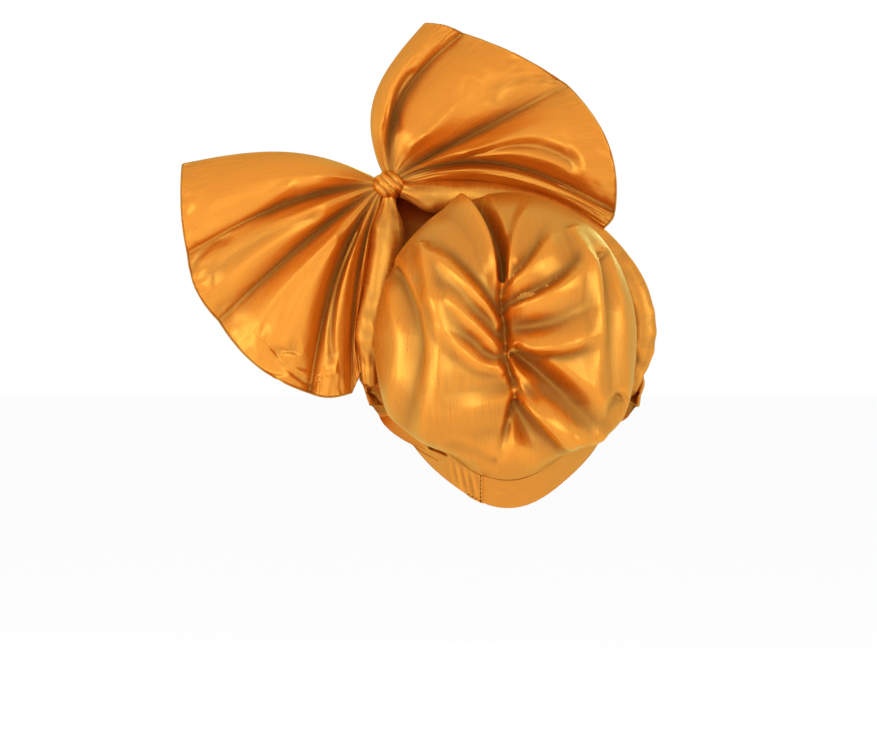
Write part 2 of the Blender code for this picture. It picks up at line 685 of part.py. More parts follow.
def make_knot(knot):
    """The small wrapped knot that holds both rolls and both wings."""
    turn = np.linspace(0, 2 * math.pi, KNOT_SIDES, endpoint=False)[None]
    rise = np.linspace(-math.pi / 2, math.pi / 2, KNOT_ROWS + 1)[1:-1, None]
    around = np.cos(rise)
    rings = np.stack([around * np.cos(turn), np.sin(rise) + 0 * turn, around * np.sin(turn)], axis=-1)
    return capped_tube("knot", knot + rings[:, ::-1] * np.array(KNOT_HALF))


def main():
    """Builds every piece of the cap."""
    for obj in list(bpy.data.objects):
        bpy.data.objects.remove(obj)
    crown = make_crown()
    make_band()
    bpy.context.view_layer.update()
    tree = BVHTree.FromObject(crown, bpy.context.evaluated_depsgraph_get())
    arch = arch_points()
    knot_at = len(LEFT_LIMB)
    knot = arch[knot_at]
    left = limb(arch[:knot_at][::-1], knot, LEFT_ROLL_STATIONS)
    right = limb(arch[knot_at + 1:], knot, RIGHT_ROLL_STATIONS)
    capped_tube("roll_left", tube(left[0], left[1]))
    capped_tube("roll_right", tube(right[0], right[1]))
    inner = panel_surface(left, right, knot, tree)
    walls("front_panel", panel_outer(inner), inner, closed=False)
    behind, before = wing_faces(knot, left, LEFT_LINES, LEFT_ALONG_ROLL, LEFT_WING_REACH, -1)
    walls("bow_left", behind, before, closed=False)
    behind, before = wing_faces(knot, right, RIGHT_LINES, RIGHT_ALONG_ROLL, RIGHT_WING_REACH, 1)
    walls("bow_right", behind, before, closed=False)
    make_knot(knot)


main()
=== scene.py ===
"""A gold-orange shot-taffeta turban cap with a big pleated bow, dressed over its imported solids.

Metres. +X is the wearer's right, +Y is the way the wearer faces and +Z is up. Every soft piece is
modelled again at a fine grain: the gathered crown, the lapped head band, the standing front panel,
the two padded rolls, the two wings of the bow and the knot that holds them.
"""

from __future__ import annotations

import logging
import math
from dataclasses import dataclass
from enum import Enum
from typing import NamedTuple

import bpy
import numpy as np
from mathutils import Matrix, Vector
from mathutils.bvhtree import BVHTree

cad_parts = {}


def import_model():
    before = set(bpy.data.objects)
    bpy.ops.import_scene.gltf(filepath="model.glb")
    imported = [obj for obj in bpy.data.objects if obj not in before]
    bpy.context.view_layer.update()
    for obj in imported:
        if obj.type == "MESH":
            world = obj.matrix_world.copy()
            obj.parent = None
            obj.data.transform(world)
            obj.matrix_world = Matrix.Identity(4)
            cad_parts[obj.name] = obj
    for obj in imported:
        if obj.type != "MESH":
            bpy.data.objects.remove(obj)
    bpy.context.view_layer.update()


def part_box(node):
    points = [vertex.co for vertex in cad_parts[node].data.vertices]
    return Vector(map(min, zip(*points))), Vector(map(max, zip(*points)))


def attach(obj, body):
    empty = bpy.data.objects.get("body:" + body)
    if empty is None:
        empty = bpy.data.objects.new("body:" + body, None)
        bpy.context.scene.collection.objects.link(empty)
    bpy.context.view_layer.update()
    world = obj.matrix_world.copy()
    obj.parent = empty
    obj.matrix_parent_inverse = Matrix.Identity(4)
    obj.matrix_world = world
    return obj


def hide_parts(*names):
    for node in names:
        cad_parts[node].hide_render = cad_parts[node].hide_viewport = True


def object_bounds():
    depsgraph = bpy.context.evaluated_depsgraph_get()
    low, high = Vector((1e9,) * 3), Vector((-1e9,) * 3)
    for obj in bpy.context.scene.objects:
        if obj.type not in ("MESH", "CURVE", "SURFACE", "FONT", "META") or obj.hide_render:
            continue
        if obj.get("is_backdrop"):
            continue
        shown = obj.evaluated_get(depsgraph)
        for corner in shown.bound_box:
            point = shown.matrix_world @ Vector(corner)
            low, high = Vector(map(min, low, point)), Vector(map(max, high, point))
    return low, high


LOG = logging.getLogger("turban_cap")
Array = np.ndarray

UPRIGHT = np.array([1.0, 0.0, 1.0])
LEVEL = np.array([1.0, 1.0, 0.0])
FORWARD = np.array([0.0, 1.0, 0.0])
GOLDEN_TURN = 2.39996
WAVES = 6
CURVE_STEPS = 24
SPHERES_TO_A_STATION = 5


# Plain helpers


def smooth(t: Array) -> Array:
    """0 before 0, 1 after 1, and an even ramp between."""
    t = np.clip(t, 0.0, 1.0)
    return t * t * (3.0 - 2.0 * t)


def unit(v: Array) -> Array:
    """Vectors of length 1 along the last axis."""
    v = np.asarray(v, float)
    return v / np.maximum(np.linalg.norm(v, axis=-1, keepdims=True), 1e-12)


def run_along(line: Array) -> Array:
    """Each point's distance along a line."""
    return np.concatenate([[0.0], np.cumsum(np.linalg.norm(np.diff(line, axis=0), axis=1))])


def evenly(line: Array, steps: int) -> Array:
    """A line again, with evenly spaced points.

    Args:
        line: the points, a row to each.
        steps: how many points the new line gets.

    Returns:
        The new line.
    """
    run = run_along(line)
    at = np.linspace(0.0, run[-1], steps)
    return np.stack([np.interp(at, run, line[:, k]) for k in range(line.shape[1])], axis=1)


def through(points: Array, steps: int) -> Array:
    """A smooth curve through a few points.

    Args:
        points: the points, a row to each.
        steps: how many points the curve gets.

    Returns:
        The curve's points, evenly spaced along it.
    """
    points = np.asarray(points, float)
    padded = np.vstack([2 * points[0] - points[1], points, 2 * points[-1] - points[-2]])
    fine = []
    for before, start, end, after in zip(padded, padded[1:], padded[2:], padded[3:]):
        t = np.linspace(0.0, 1.0, CURVE_STEPS, endpoint=False)[:, None]
        bend = (2 * before - 5 * start + 4 * end - after) * t**2
        twist = (3 * start - before - 3 * end + after) * t**3
        fine.append(0.5 * (2 * start + (end - before) * t + bend + twist))
    return evenly(np.vstack([*fine, points[-1:]]), steps)


def cavity(height: Array, reach: int, closed: bool) -> Array:
    """How far each place of a grid of heights stands above the mean of those round it.

    Args:
        height: the heights, a row to each step up.
        reach: how many places away the mean reaches.
        closed: whether the last column meets the first.

    Returns:
        The differences, on the same grid.
    """
    sides = "wrap" if closed else "edge"
    wide = np.pad(np.pad(height, ((0, 0), (reach, reach)), sides), ((reach, reach), (0, 0)), "edge")
    for axis in (0, 1):
        total = np.cumsum(wide, axis=axis)
        total = np.insert(total, 0, 0.0, axis=axis)
        count = 2 * reach + 1
        size = total.shape[axis]
        high = np.take(total, range(count, size), axis=axis)
        low = np.take(total, range(size - count), axis=axis)
        wide = (high - low) / count
    return height - wide


def ripples(x: Array, y: Array, pitch: float, phase: float) -> Array:
    """Soft unordered waves in cloth.

    Args:
        x: places across the cloth, in any unit.
        y: places along the cloth, in the same unit.
        pitch: the waves' usual length in that unit.
        phase: picks one pattern among many.

    Returns:
        Heights from about -1 to 1.
    """
    total = 0.0
    for k in range(WAVES):
        turn = phase + k * GOLDEN_TURN
        rate = 2 * math.pi / (pitch * (0.8 + 0.6 * math.fmod(k * 0.618 + phase, 1.0)))
        total = total + np.sin(rate * (x * math.cos(turn) + y * math.sin(turn)) + 5.1 * k + 7 * phase)
    return total / WAVES**0.75


# Cloth shells


class ClothFace(NamedTuple):
    """One face of a cloth: a grid of points, their places in the flat cloth and their relief."""

    points: Array
    flat: Array
    # relief: the tone of the painted shade in the hollows, which also dulls the gloss there
    relief: Array


@dataclass
class Shell:
    """A closed cloth solid between an outer face and a coarser inner one.

    Each face is a grid with a row to each step up the cloth. A closed shell's last column meets
    its first, and its flat places have one column more than its points. A tipped shell's last row
    is drawn together in one point.
    """

    name: str
    outer: ClothFace
    inner: ClothFace
    closed: bool = False
    tipped: bool = False
    edge_bulge: float = 0.5
    # painted-shade tone of the rounded edges: close to the cloth's own colour
    edge_shade: float = 0.3
    tip_rise: float = 0.3

    def build(self) -> bpy.types.Object:
        """Makes the mesh object, with its UV map in cloth metres and its relief attribute.

        Returns:
            The object.
        """
        outer, inner = self.outer.points, self.inner.points
        self.rows, self.columns = outer.shape[:2]
        self.low_rows, self.low_columns = inner.shape[:2]
        self.base = self.rows * self.columns
        self.places = [outer.reshape(-1, 3), inner.reshape(-1, 3)]
        self.shade_tones = [self.outer.relief.reshape(-1), self.inner.relief.reshape(-1)]
        self.count = self.base + self.low_rows * self.low_columns
        self.faces: list[tuple[int, ...]] = []
        self.corners: list[Array] = []
        self.grid_faces(0, self.rows, self.columns, self.outer.flat, False)
        self.grid_faces(self.base, self.low_rows, self.low_columns, self.inner.flat, True)
        if self.tipped:
            self.tip_faces(0, self.rows, self.columns, self.outer, False)
            self.tip_faces(self.base, self.low_rows, self.low_columns, self.inner, True)
        self.edge(self.along_row(0), self.along_row(1), reverse=True)
        if not self.tipped:
            self.edge(self.along_row(-1), self.along_row(-2))
        if not self.closed:
            self.edge(self.along_column(0), self.along_column(1))
            self.edge(self.along_column(-1), self.along_column(-2), reverse=True)
        return self.finished()

    def grid_faces(self, base: int, rows: int, columns: int, flat: Array, flip: bool) -> None:
        """Quads of one face; flip turns them round.

        Args:
            base: the number of the face's first vertex.
            rows: how many rows of points it has.
            columns: how many columns of points it has.
            flat: the places in the flat cloth.
            flip: turns the quads round.
        """
        last = columns if self.closed else columns - 1
        r, c = np.meshgrid(np.arange(rows - 1), np.arange(last), indexing="ij")
        r, c = r.ravel(), c.ravel()
        d = (c + 1) % columns
        order = [(r, c, c), (r, d, c + 1), (r + 1, d, c + 1), (r + 1, c, c)]
        if flip:
            order = order[::-1]
        index = np.stack([base + row * columns + at for row, at, _ in order], axis=1)
        self.faces += [tuple(face) for face in index.tolist()]
        self.corners.append(np.stack([flat[row, at] for row, _, at in order], axis=1).reshape(-1, 2))

    def tip_faces(self, base: int, rows: int, columns: int, face: ClothFace, flip: bool) -> None:
        """Closes the last row of one face in a point at its middle.

        Args:
            base: the number of the face's first vertex.
            rows: how many rows of points it has.
            columns: how many columns of points it has.
            face: the face.
            flip: turns the triangles round.
        """
        ring = face.points[-1]
        step = ring.mean(axis=0) - face.points[-2].mean(axis=0)
        self.places.append((ring.mean(axis=0) + step * self.tip_rise)[None])
        self.shade_tones.append(np.zeros(1))
        for c in range(columns):
            low = base + (rows - 1) * columns
            corner = [low + c, low + (c + 1) % columns, self.count]
            places = [face.flat[-1, c], face.flat[-1, c + 1], face.flat[-1, c]]
            if flip:
                corner, places = corner[::-1], places[::-1]
            self.faces.append(tuple(corner))
            self.corners.append(np.array(places))
        self.count += 1

    def along_row(self, row: int) -> tuple[Array, Array, int]:
        """The vertex numbers of a row on both faces, and the columns between shared places.

        Args:
            row: the row, counted from the end if negative.

        Returns:
            The fine face's numbers, the coarse face's numbers and the fine columns to a coarse one.
        """
        fine = (row % self.rows) * self.columns + np.arange(self.columns)
        coarse = self.base + (row % self.low_rows) * self.low_columns + np.arange(self.low_columns)
        spans = self.low_columns if self.closed else self.low_columns - 1
        fine_spans = self.columns if self.closed else self.columns - 1
        return fine, coarse, fine_spans // spans

    def along_column(self, column: int) -> tuple[Array, Array, int]:
        """The vertex numbers of a column on both faces, and the rows between shared places.

        Args:
            column: the column, counted from the end if negative.

        Returns:
            The fine face's numbers, the coarse face's numbers and the fine rows to a coarse one.
        """
        fine = np.arange(self.rows) * self.columns + column % self.columns
        coarse = self.base + np.arange(self.low_rows) * self.low_columns + column % self.low_columns
        return fine, coarse, (self.rows - 1) // (self.low_rows - 1)

    def edge(self, at: tuple[Array, Array, int], before: tuple[Array, Array, int],
             reverse: bool = False) -> None:
        """A rounded edge that joins both faces.

        Args:
            at: the edge's vertex numbers, fine and coarse, and the fine steps to a coarse one.
            before: the same for the row or column next to the edge.
            reverse: turns the edge's faces round.
        """
        fine, coarse, stride = at
        known = np.vstack(self.places[:2])
        shared = np.arange(len(coarse)) * stride
        thick = known[coarse] - known[fine[shared]]
        spread = np.arange(len(fine)) / stride
        period = len(coarse) if self.closed else None
        wall = np.stack(
            [np.interp(spread, np.arange(len(coarse)), thick[:, k], period=period) for k in range(3)],
            axis=1,
        )
        outward = unit(known[fine] - known[before[0]])
        half = np.linalg.norm(wall, axis=1, keepdims=True)
        middle = known[fine] + wall * 0.5 + outward * half * self.edge_bulge
        first = self.count
        self.places.append(middle)
        self.shade_tones.append(np.full(len(fine), self.edge_shade))
        self.count += len(fine)
        flats = np.zeros((len(fine) + 1, 2))
        flats[:, 0] = np.arange(len(fine) + 1) * float(np.linalg.norm(known[fine[1]] - known[fine[0]]))
        steps = len(fine) if self.closed else len(fine) - 1
        for k in range(steps):
            n = (k + 1) % len(fine)
            face = [fine[n], fine[k], first + k, first + n]
            flat = [flats[k + 1], flats[k], flats[k], flats[k + 1]]
            self.add_face(face, flat, reverse)
        for j in range(len(coarse) if self.closed else len(coarse) - 1):
            m = (j + 1) % len(coarse)
            run = [first + (j * stride + k) % len(fine) for k in range(stride + 1)]
            face = [coarse[m], *run[::-1], coarse[j]]
            flat = [flats[(j + 1) * stride], *[flats[j * stride + k] for k in range(stride, -1, -1)],
                    flats[j * stride]]
            self.add_face(face, flat, reverse)

    def add_face(self, face: list[int], flat: list[Array], reverse: bool) -> None:
        """Adds one face with its corners' flat places.

        Args:
            face: the corners' vertex numbers.
            flat: the corners' places in the flat cloth.
            reverse: turns the face round.
        """
        if reverse:
            face, flat = face[::-1], flat[::-1]
        self.faces.append(tuple(int(v) for v in face))
        self.corners.append(np.array(flat))

    def finished(self) -> bpy.types.Object:
        """The object made from what was gathered.

        Returns:
            The linked object, with its faces pointing outwards.
        """
        mesh = bpy.data.meshes.new(self.name)
        mesh.from_pydata(np.vstack(self.places).tolist(), [], self.faces)
        layer = mesh.uv_layers.new(name="cloth")
        layer.data.foreach_set("uv", np.vstack(self.corners).astype(np.float32).ravel())
        # the relief attribute carries the painted-shade tone to the material
        relief = mesh.attributes.new("relief", "FLOAT", "POINT")
        relief.data.foreach_set("value", np.concatenate(self.shade_tones).astype(np.float32))
        mesh.shade_smooth()
        obj = bpy.data.objects.new(self.name, mesh)
        bpy.context.scene.collection.objects.link(obj)
        face_outwards(mesh)
        return obj


def face_outwards(mesh: bpy.types.Mesh) -> None:
    """Turns a closed mesh's faces outwards if its signed volume says that they point in.

    Args:
        mesh: the closed mesh.
    """
    mesh.calc_loop_triangles()
    places = np.empty(len(mesh.vertices) * 3)
    mesh.vertices.foreach_get("co", places)
    places = places.reshape(-1, 3)
    corners = np.empty(len(mesh.loop_triangles) * 3, dtype=np.int32)
    mesh.loop_triangles.foreach_get("vertices", corners)
    a, b, c = places[corners.reshape(-1, 3)].transpose(1, 0, 2)
    if (a * np.cross(b, c)).sum() < 0:
        mesh.flip_normals()


# Finish


@dataclass(frozen=True)
class Taffeta:
    """A cut of the changing taffeta.

    The warp is red-orange and the weft is gold, so a face that meets the light shows gold and one
    that turns away shows orange. Its second, darker colour is painted shade, mixed in where the
    relief says the cloth lies in a hollow; the ridge colour is the cloth's own.
    """

    name: str
    ridge: tuple[float, float, float] = (0.73, 0.117, 0.003)
    # painted shade: the darker orange that the hollows of the folds are painted with
    valley_shade: tuple[float, float, float] = (0.35, 0.011, 0.001)
    gloss: tuple[float, float, float] = (0.64, 1.0, 0.19)
    roughness: float = 0.33
    ior: float = 2.3
    specular_level: float = 1.0
    metallic: float = 0.45
    anisotropy: float = 0.45
    slub_strength: float = 0.5
    slub_depth: float = 0.0004
    crumple_strength: float = 0.22
    crumple_depth: float = 0.0012
    slub_turn: float = 0.0

    def material(self, weave: bpy.types.NodeTree) -> bpy.types.Material:
        """Builds the material.

        Args:
            weave: the shared group that draws the yarns and paints shade in the hollows.

        Returns:
            The finished material.
        """
        made = bpy.data.materials.new(self.name)
        made.use_nodes = True
        nodes, links = made.node_tree.nodes, made.node_tree.links
        shader = nodes["Principled BSDF"]
        shader.inputs["IOR"].default_value = self.ior
        shader.inputs["Specular IOR Level"].default_value = self.specular_level
        shader.inputs["Specular Tint"].default_value = (*self.gloss, 1.0)
        shader.inputs["Metallic"].default_value = self.metallic
        shader.inputs["Anisotropic"].default_value = self.anisotropy
        cloth = nodes.new("ShaderNodeUVMap")
        cloth.uv_map = "cloth"
        tangent = nodes.new("ShaderNodeTangent")
        tangent.direction_type = "UV_MAP"
        tangent.uv_map = "cloth"
        # the relief attribute brings the painted-shade tone into the material
        relief = nodes.new("ShaderNodeAttribute")
        relief.attribute_name = "relief"
        yarns = nodes.new("ShaderNodeGroup")
        yarns.node_tree = weave
        yarns.inputs["Turn"].default_value = self.slub_turn
        yarns.inputs["Roughness"].default_value = self.roughness
        for socket, colour in (("Ridge", self.ridge), ("Valley Shade", self.valley_shade)):
            yarns.inputs[socket].default_value = (*colour, 1.0)
        links.new(cloth.outputs["UV"], yarns.inputs["Cloth"])
        links.new(relief.outputs["Fac"], yarns.inputs["Relief"])
        crumple = nodes.new("ShaderNodeBump")
        crumple.inputs["Strength"].default_value = self.crumple_strength
        crumple.inputs["Distance"].default_value = self.crumple_depth
        slubs = nodes.new("ShaderNodeBump")
        slubs.inputs["Strength"].default_value = self.slub_strength
        slubs.inputs["Distance"].default_value = self.slub_depth
        links.new(yarns.outputs["Crumple"], crumple.inputs["Height"])
        links.new(yarns.outputs["Slubs"], slubs.inputs["Height"])
        links.new(crumple.outputs["Normal"], slubs.inputs["Normal"])
        links.new(slubs.outputs["Normal"], shader.inputs["Normal"])
        links.new(tangent.outputs["Tangent"], shader.inputs["Tangent"])
        # base colour: the yarns' streaks plus the painted shade from the relief
        links.new(yarns.outputs["Colour"], shader.inputs["Base Color"])
        links.new(yarns.outputs["Roughness"], shader.inputs["Roughness"])
        return made


class WeaveAndShadeGroup:
    """The shader group that turns cloth places and relief into colour, roughness and height: the colour
    is the yarns' streaks with painted shade mixed in where the relief is low.
    """

    SLUB_RATE = (45.0, 950.0)
    FINE_RATE = (260.0, 3000.0)
    CRUMPLE_RATE = 85.0
    SLUB_DETAIL = 3.0
    FINE_DETAIL = 1.0
    CRUMPLE_DETAIL = 2.0
    SLUB_SHARE = 0.7
    YARN_RANGE = (0.3, 0.7)
    YARN_TONE = (-0.22, 0.22)
    YARN_ROUGHNESS = (-0.08, 0.10)
    # painted shade: the relief span over which the colour goes from the darker shade colour to the ridge
    # colour
    SHADE_RANGE = (-0.7, 0.45)
    HOLLOW_RANGE = (-1.0, 0.0)
    HOLLOW_ROUGHNESS = (0.35, 0.0)

    def __init__(self) -> None:
        """Makes the group's sockets and nodes."""
        self.tree = bpy.data.node_groups.new("taffeta_weave_and_shade", "ShaderNodeTree")
        self.nodes, self.links = self.tree.nodes, self.tree.links
        face = self.tree.interface
        for name, kind in (("Cloth", "Vector"), ("Relief", "Float"), ("Ridge", "Color"),
                           ("Valley Shade", "Color"), ("Turn", "Float"), ("Roughness", "Float")):
            face.new_socket(name=name, in_out="INPUT", socket_type=f"NodeSocket{kind}")
        for name, kind in (("Colour", "Color"), ("Roughness", "Float"), ("Slubs", "Float"),
                           ("Crumple", "Float")):
            face.new_socket(name=name, in_out="OUTPUT", socket_type=f"NodeSocket{kind}")
        self.build()

    def streaks(self, cloth: bpy.types.NodeSocket, rate: tuple[float, float],
                detail: float) -> bpy.types.NodeSocket:
        """Noise drawn out along the yarns.

        Args:
            cloth: the cloth's places.
            rate: how many streaks there are to a metre, along and across the yarns.
            detail: the noise's detail.

        Returns:
            The noise's value.
        """
        scale = self.nodes.new("ShaderNodeVectorMath")
        scale.operation = "MULTIPLY"
        scale.inputs[1].default_value = (rate[1], rate[0], 1.0)
        noise = self.nodes.new("ShaderNodeTexNoise")
        noise.inputs["Scale"].default_value = 1.0
        noise.inputs["Detail"].default_value = detail
        self.links.new(cloth, scale.inputs[0])
        self.links.new(scale.outputs[0], noise.inputs["Vector"])
        return noise.outputs["Fac"]

    def blend(self, value: bpy.types.NodeSocket, taken: tuple[float, float],
              given: tuple[float, float]) -> bpy.types.NodeSocket:
        """Maps a value's range onto another.

        Args:
            value: the value.
            taken: the range that comes in.
            given: the range that it becomes.

        Returns:
            The mapped value.
        """
        node = self.nodes.new("ShaderNodeMapRange")
        for side, (low, high) in (("From", taken), ("To", given)):
            node.inputs[f"{side} Min"].default_value = low
            node.inputs[f"{side} Max"].default_value = high
        self.links.new(value, node.inputs["Value"])
        return node.outputs["Result"]

    def maths(self, operation: str, *values: bpy.types.NodeSocket | float) -> bpy.types.NodeSocket:
        """One maths node.

        Args:
            operation: the node's operation.
            values: its inputs, each a socket or a number.

        Returns:
            Its output.
        """
        node = self.nodes.new("ShaderNodeMath")
        node.operation = operation
        for k, value in enumerate(values):
            if isinstance(value, (int, float)):
                node.inputs[k].default_value = value
            else:
                self.links.new(value, node.inputs[k])
        return node.outputs[0]

    def build(self) -> None:
        """Wires the group."""
        start = self.nodes.new("NodeGroupInput")
        end = self.nodes.new("NodeGroupOutput")
        turned = self.nodes.new("ShaderNodeVectorRotate")
        turned.rotation_type = "Z_AXIS"
        self.links.new(start.outputs["Cloth"], turned.inputs["Vector"])
        self.links.new(start.outputs["Turn"], turned.inputs["Angle"])
        cloth = turned.outputs["Vector"]
        slubs = self.streaks(cloth, self.SLUB_RATE, self.SLUB_DETAIL)
        slubs = self.maths("MULTIPLY", slubs, self.SLUB_SHARE)
        fine = self.streaks(cloth, self.FINE_RATE, self.FINE_DETAIL)
        fine = self.maths("MULTIPLY", fine, 1.0 - self.SLUB_SHARE)
        yarn = self.maths("ADD", slubs, fine)
        crumple = self.nodes.new("ShaderNodeTexNoise")
        crumple.inputs["Scale"].default_value = self.CRUMPLE_RATE
        crumple.inputs["Detail"].default_value = self.CRUMPLE_DETAIL
        self.links.new(cloth, crumple.inputs["Vector"])
        # painted shade: low relief mixes in the darker shade colour, high relief the cloth's own ridge
        # colour
        height = self.blend(start.outputs["Relief"], self.SHADE_RANGE, (0.0, 1.0))
        streaked = self.maths("ADD", height, self.blend(yarn, self.YARN_RANGE, self.YARN_TONE))
        colour = self.nodes.new("ShaderNodeMix")
        colour.data_type = "RGBA"
        self.links.new(streaked, colour.inputs["Factor"])
        self.links.new(start.outputs["Valley Shade"], colour.inputs[6])
        self.links.new(start.outputs["Ridge"], colour.inputs[7])
        dull = self.blend(start.outputs["Relief"], self.HOLLOW_RANGE, self.HOLLOW_ROUGHNESS)
        uneven = self.blend(yarn, self.YARN_RANGE, self.YARN_ROUGHNESS)
        rough = self.maths("ADD", start.outputs["Roughness"], uneven)
        rough = self.maths("ADD", rough, dull)
        self.links.new(colour.outputs[2], end.inputs["Colour"])
        self.links.new(rough, end.inputs["Roughness"])
        self.links.new(yarn, end.inputs["Slubs"])
        self.links.new(crumple.outputs["Fac"], end.inputs["Crumple"])


# Head opening and band


@dataclass(frozen=True)
class HeadRing:
    """The tilted head opening, an oval that is narrow at the nape."""

    half_width: float = 0.078
    half_length: float = 0.098
    tilt_deg: float = 28.0
    nape_taper: float = 0.42
    band_height: float = 0.024
    band_wall: float = 0.0022
    lap_raise: float = 0.0012
    lap_start_deg: float = -38.0
    lap_end_deg: float = -22.0
    lap_rise_deg: float = 5.0
    lap_fall_deg: float = 0.8
    seat_gap: float = 0.0003
    length_steps: int = 400

    def place(self, azimuth: Array, out: Array, up: Array) -> Array:
        """A place round the opening.

        Args:
            azimuth: from the nape towards +X, in radians.
            out: the distance outside the head.
            up: the height above the opening's plane.

        Returns:
            The place, along the last axis.
        """
        tilt = math.radians(self.tilt_deg)
        azimuth, out, up = np.broadcast_arrays(azimuth, out, up)
        along = -(self.half_length + out) * np.cos(azimuth)
        across = (self.half_width + out) * np.sin(azimuth - self.nape_taper * np.sin(azimuth))
        y = along * math.cos(tilt) - up * math.sin(tilt)
        z = along * math.sin(tilt) + up * math.cos(tilt)
        return np.stack([across, y, z], axis=-1)

    def lapped(self, azimuth: Array) -> Array:
        """1 where one end of the band lies over the other, 0 elsewhere.

        Args:
            azimuth: from the nape towards +X, in radians.

        Returns:
            The share, with soft ramps at both sides.
        """
        turned = np.degrees((azimuth + math.pi) % (2 * math.pi) - math.pi)
        rise = smooth((turned - self.lap_start_deg) / self.lap_rise_deg)
        return rise * smooth((self.lap_end_deg - turned) / self.lap_fall_deg)

    def wall(self, azimuth: Array) -> Array:
        """The band's thickness."""
        return self.band_wall + self.lap_raise * self.lapped(azimuth)

    def length(self) -> float:
        """The band's length round the head."""
        azimuth = np.linspace(-math.pi, math.pi, self.length_steps)
        return float(run_along(self.place(azimuth, 0.0, 0.0))[-1])


@dataclass
class HeadBand:
    """The plain band round the head opening, lapped and sewn left of the nape."""

    ring: HeadRing
    columns: int = 1200
    rows: int = 25
    inner_step: int = 6
    pucker: float = 0.0011
    pucker_start_deg: float = -58.0
    pucker_rise_deg: float = 18.0
    pucker_end_deg: float = -23.0
    pucker_fall_deg: float = 7.0
    pucker_rate: float = 0.9
    pucker_slant: float = 5.0
    small_share: float = 0.35
    small_reach_deg: float = 12.0
    small_everywhere: float = 0.2
    sag: float = 0.0004
    sag_reach_deg: float = 40.0
    deepest: float = -0.0008
    # painted shade: how strongly the puckers' hollows are painted darker
    tone: float = 0.5

    def face(self, outer: bool, columns: int, rows: int) -> ClothFace:
        """One face of the band, with puckers beside the lap.

        Args:
            outer: whether it is the outer face, which has the puckers.
            columns: how many columns go round.
            rows: how many rows go up the band.

        Returns:
            The face, with one column of flat places more than of points.
        """
        azimuth = np.linspace(-math.pi, math.pi, columns + 1)[None]
        share = np.linspace(0.0, 1.0, rows)[:, None]
        up = share * self.ring.band_height
        turned = np.degrees(azimuth)
        beside = smooth((turned - self.pucker_start_deg) / self.pucker_rise_deg)
        beside = beside * smooth((self.pucker_end_deg - turned) / self.pucker_fall_deg)
        slanted = turned * self.pucker_rate + share * self.pucker_slant
        waves = np.sin(slanted) * np.sin(math.pi * share) * beside
        small = ripples(turned / self.small_reach_deg, share * 2.0, 1.4, 0.4)
        waves = waves + self.small_share * small * (self.small_everywhere + beside)
        inside = np.sqrt(np.sin(math.pi * share).clip(0))
        sagging = ripples(turned / self.sag_reach_deg, share, 1.1, 0.9)
        bulge = self.pucker * waves * inside + self.sag * sagging
        out = self.ring.wall(azimuth) + np.maximum(bulge, self.deepest) if outer else 0.0 * waves
        flat = np.stack(np.broadcast_arrays(azimuth / (2 * math.pi) * self.ring.length(), up), axis=-1)
        points = self.ring.place(azimuth, out, up)[:, :-1]
        # painted shade: the puckers' waves set how dark the band is painted in their hollows
        return ClothFace(points, flat, np.clip(waves, -1, 1)[:, :-1] * self.tone)

    def build(self) -> bpy.types.Object:
        """Makes the band.

        Returns:
            The band.
        """
        inner_rows = (self.rows - 1) // self.inner_step + 1
        inner = self.face(False, self.columns // self.inner_step, inner_rows)
        piece = Shell("band_cloth", self.face(True, self.columns, self.rows), inner,
                      closed=True, edge_bulge=0.35).build()
        self.ring.length()
        return piece


# Crown


class Fold(NamedTuple):
    """A gather of the crown, seen from behind.

    start and end are shares of the crown's half width (across) and of its rise or drop (up). bow
    is the path's bend towards its left as a share of its length, and height is in metres. left
    and right are the widths on each side as shares of the half width; fade is lost by the end.
    """

    start: tuple[float, float]
    end: tuple[float, float]
    bow: float
    height: float
    left: float
    right: float
    fade: float


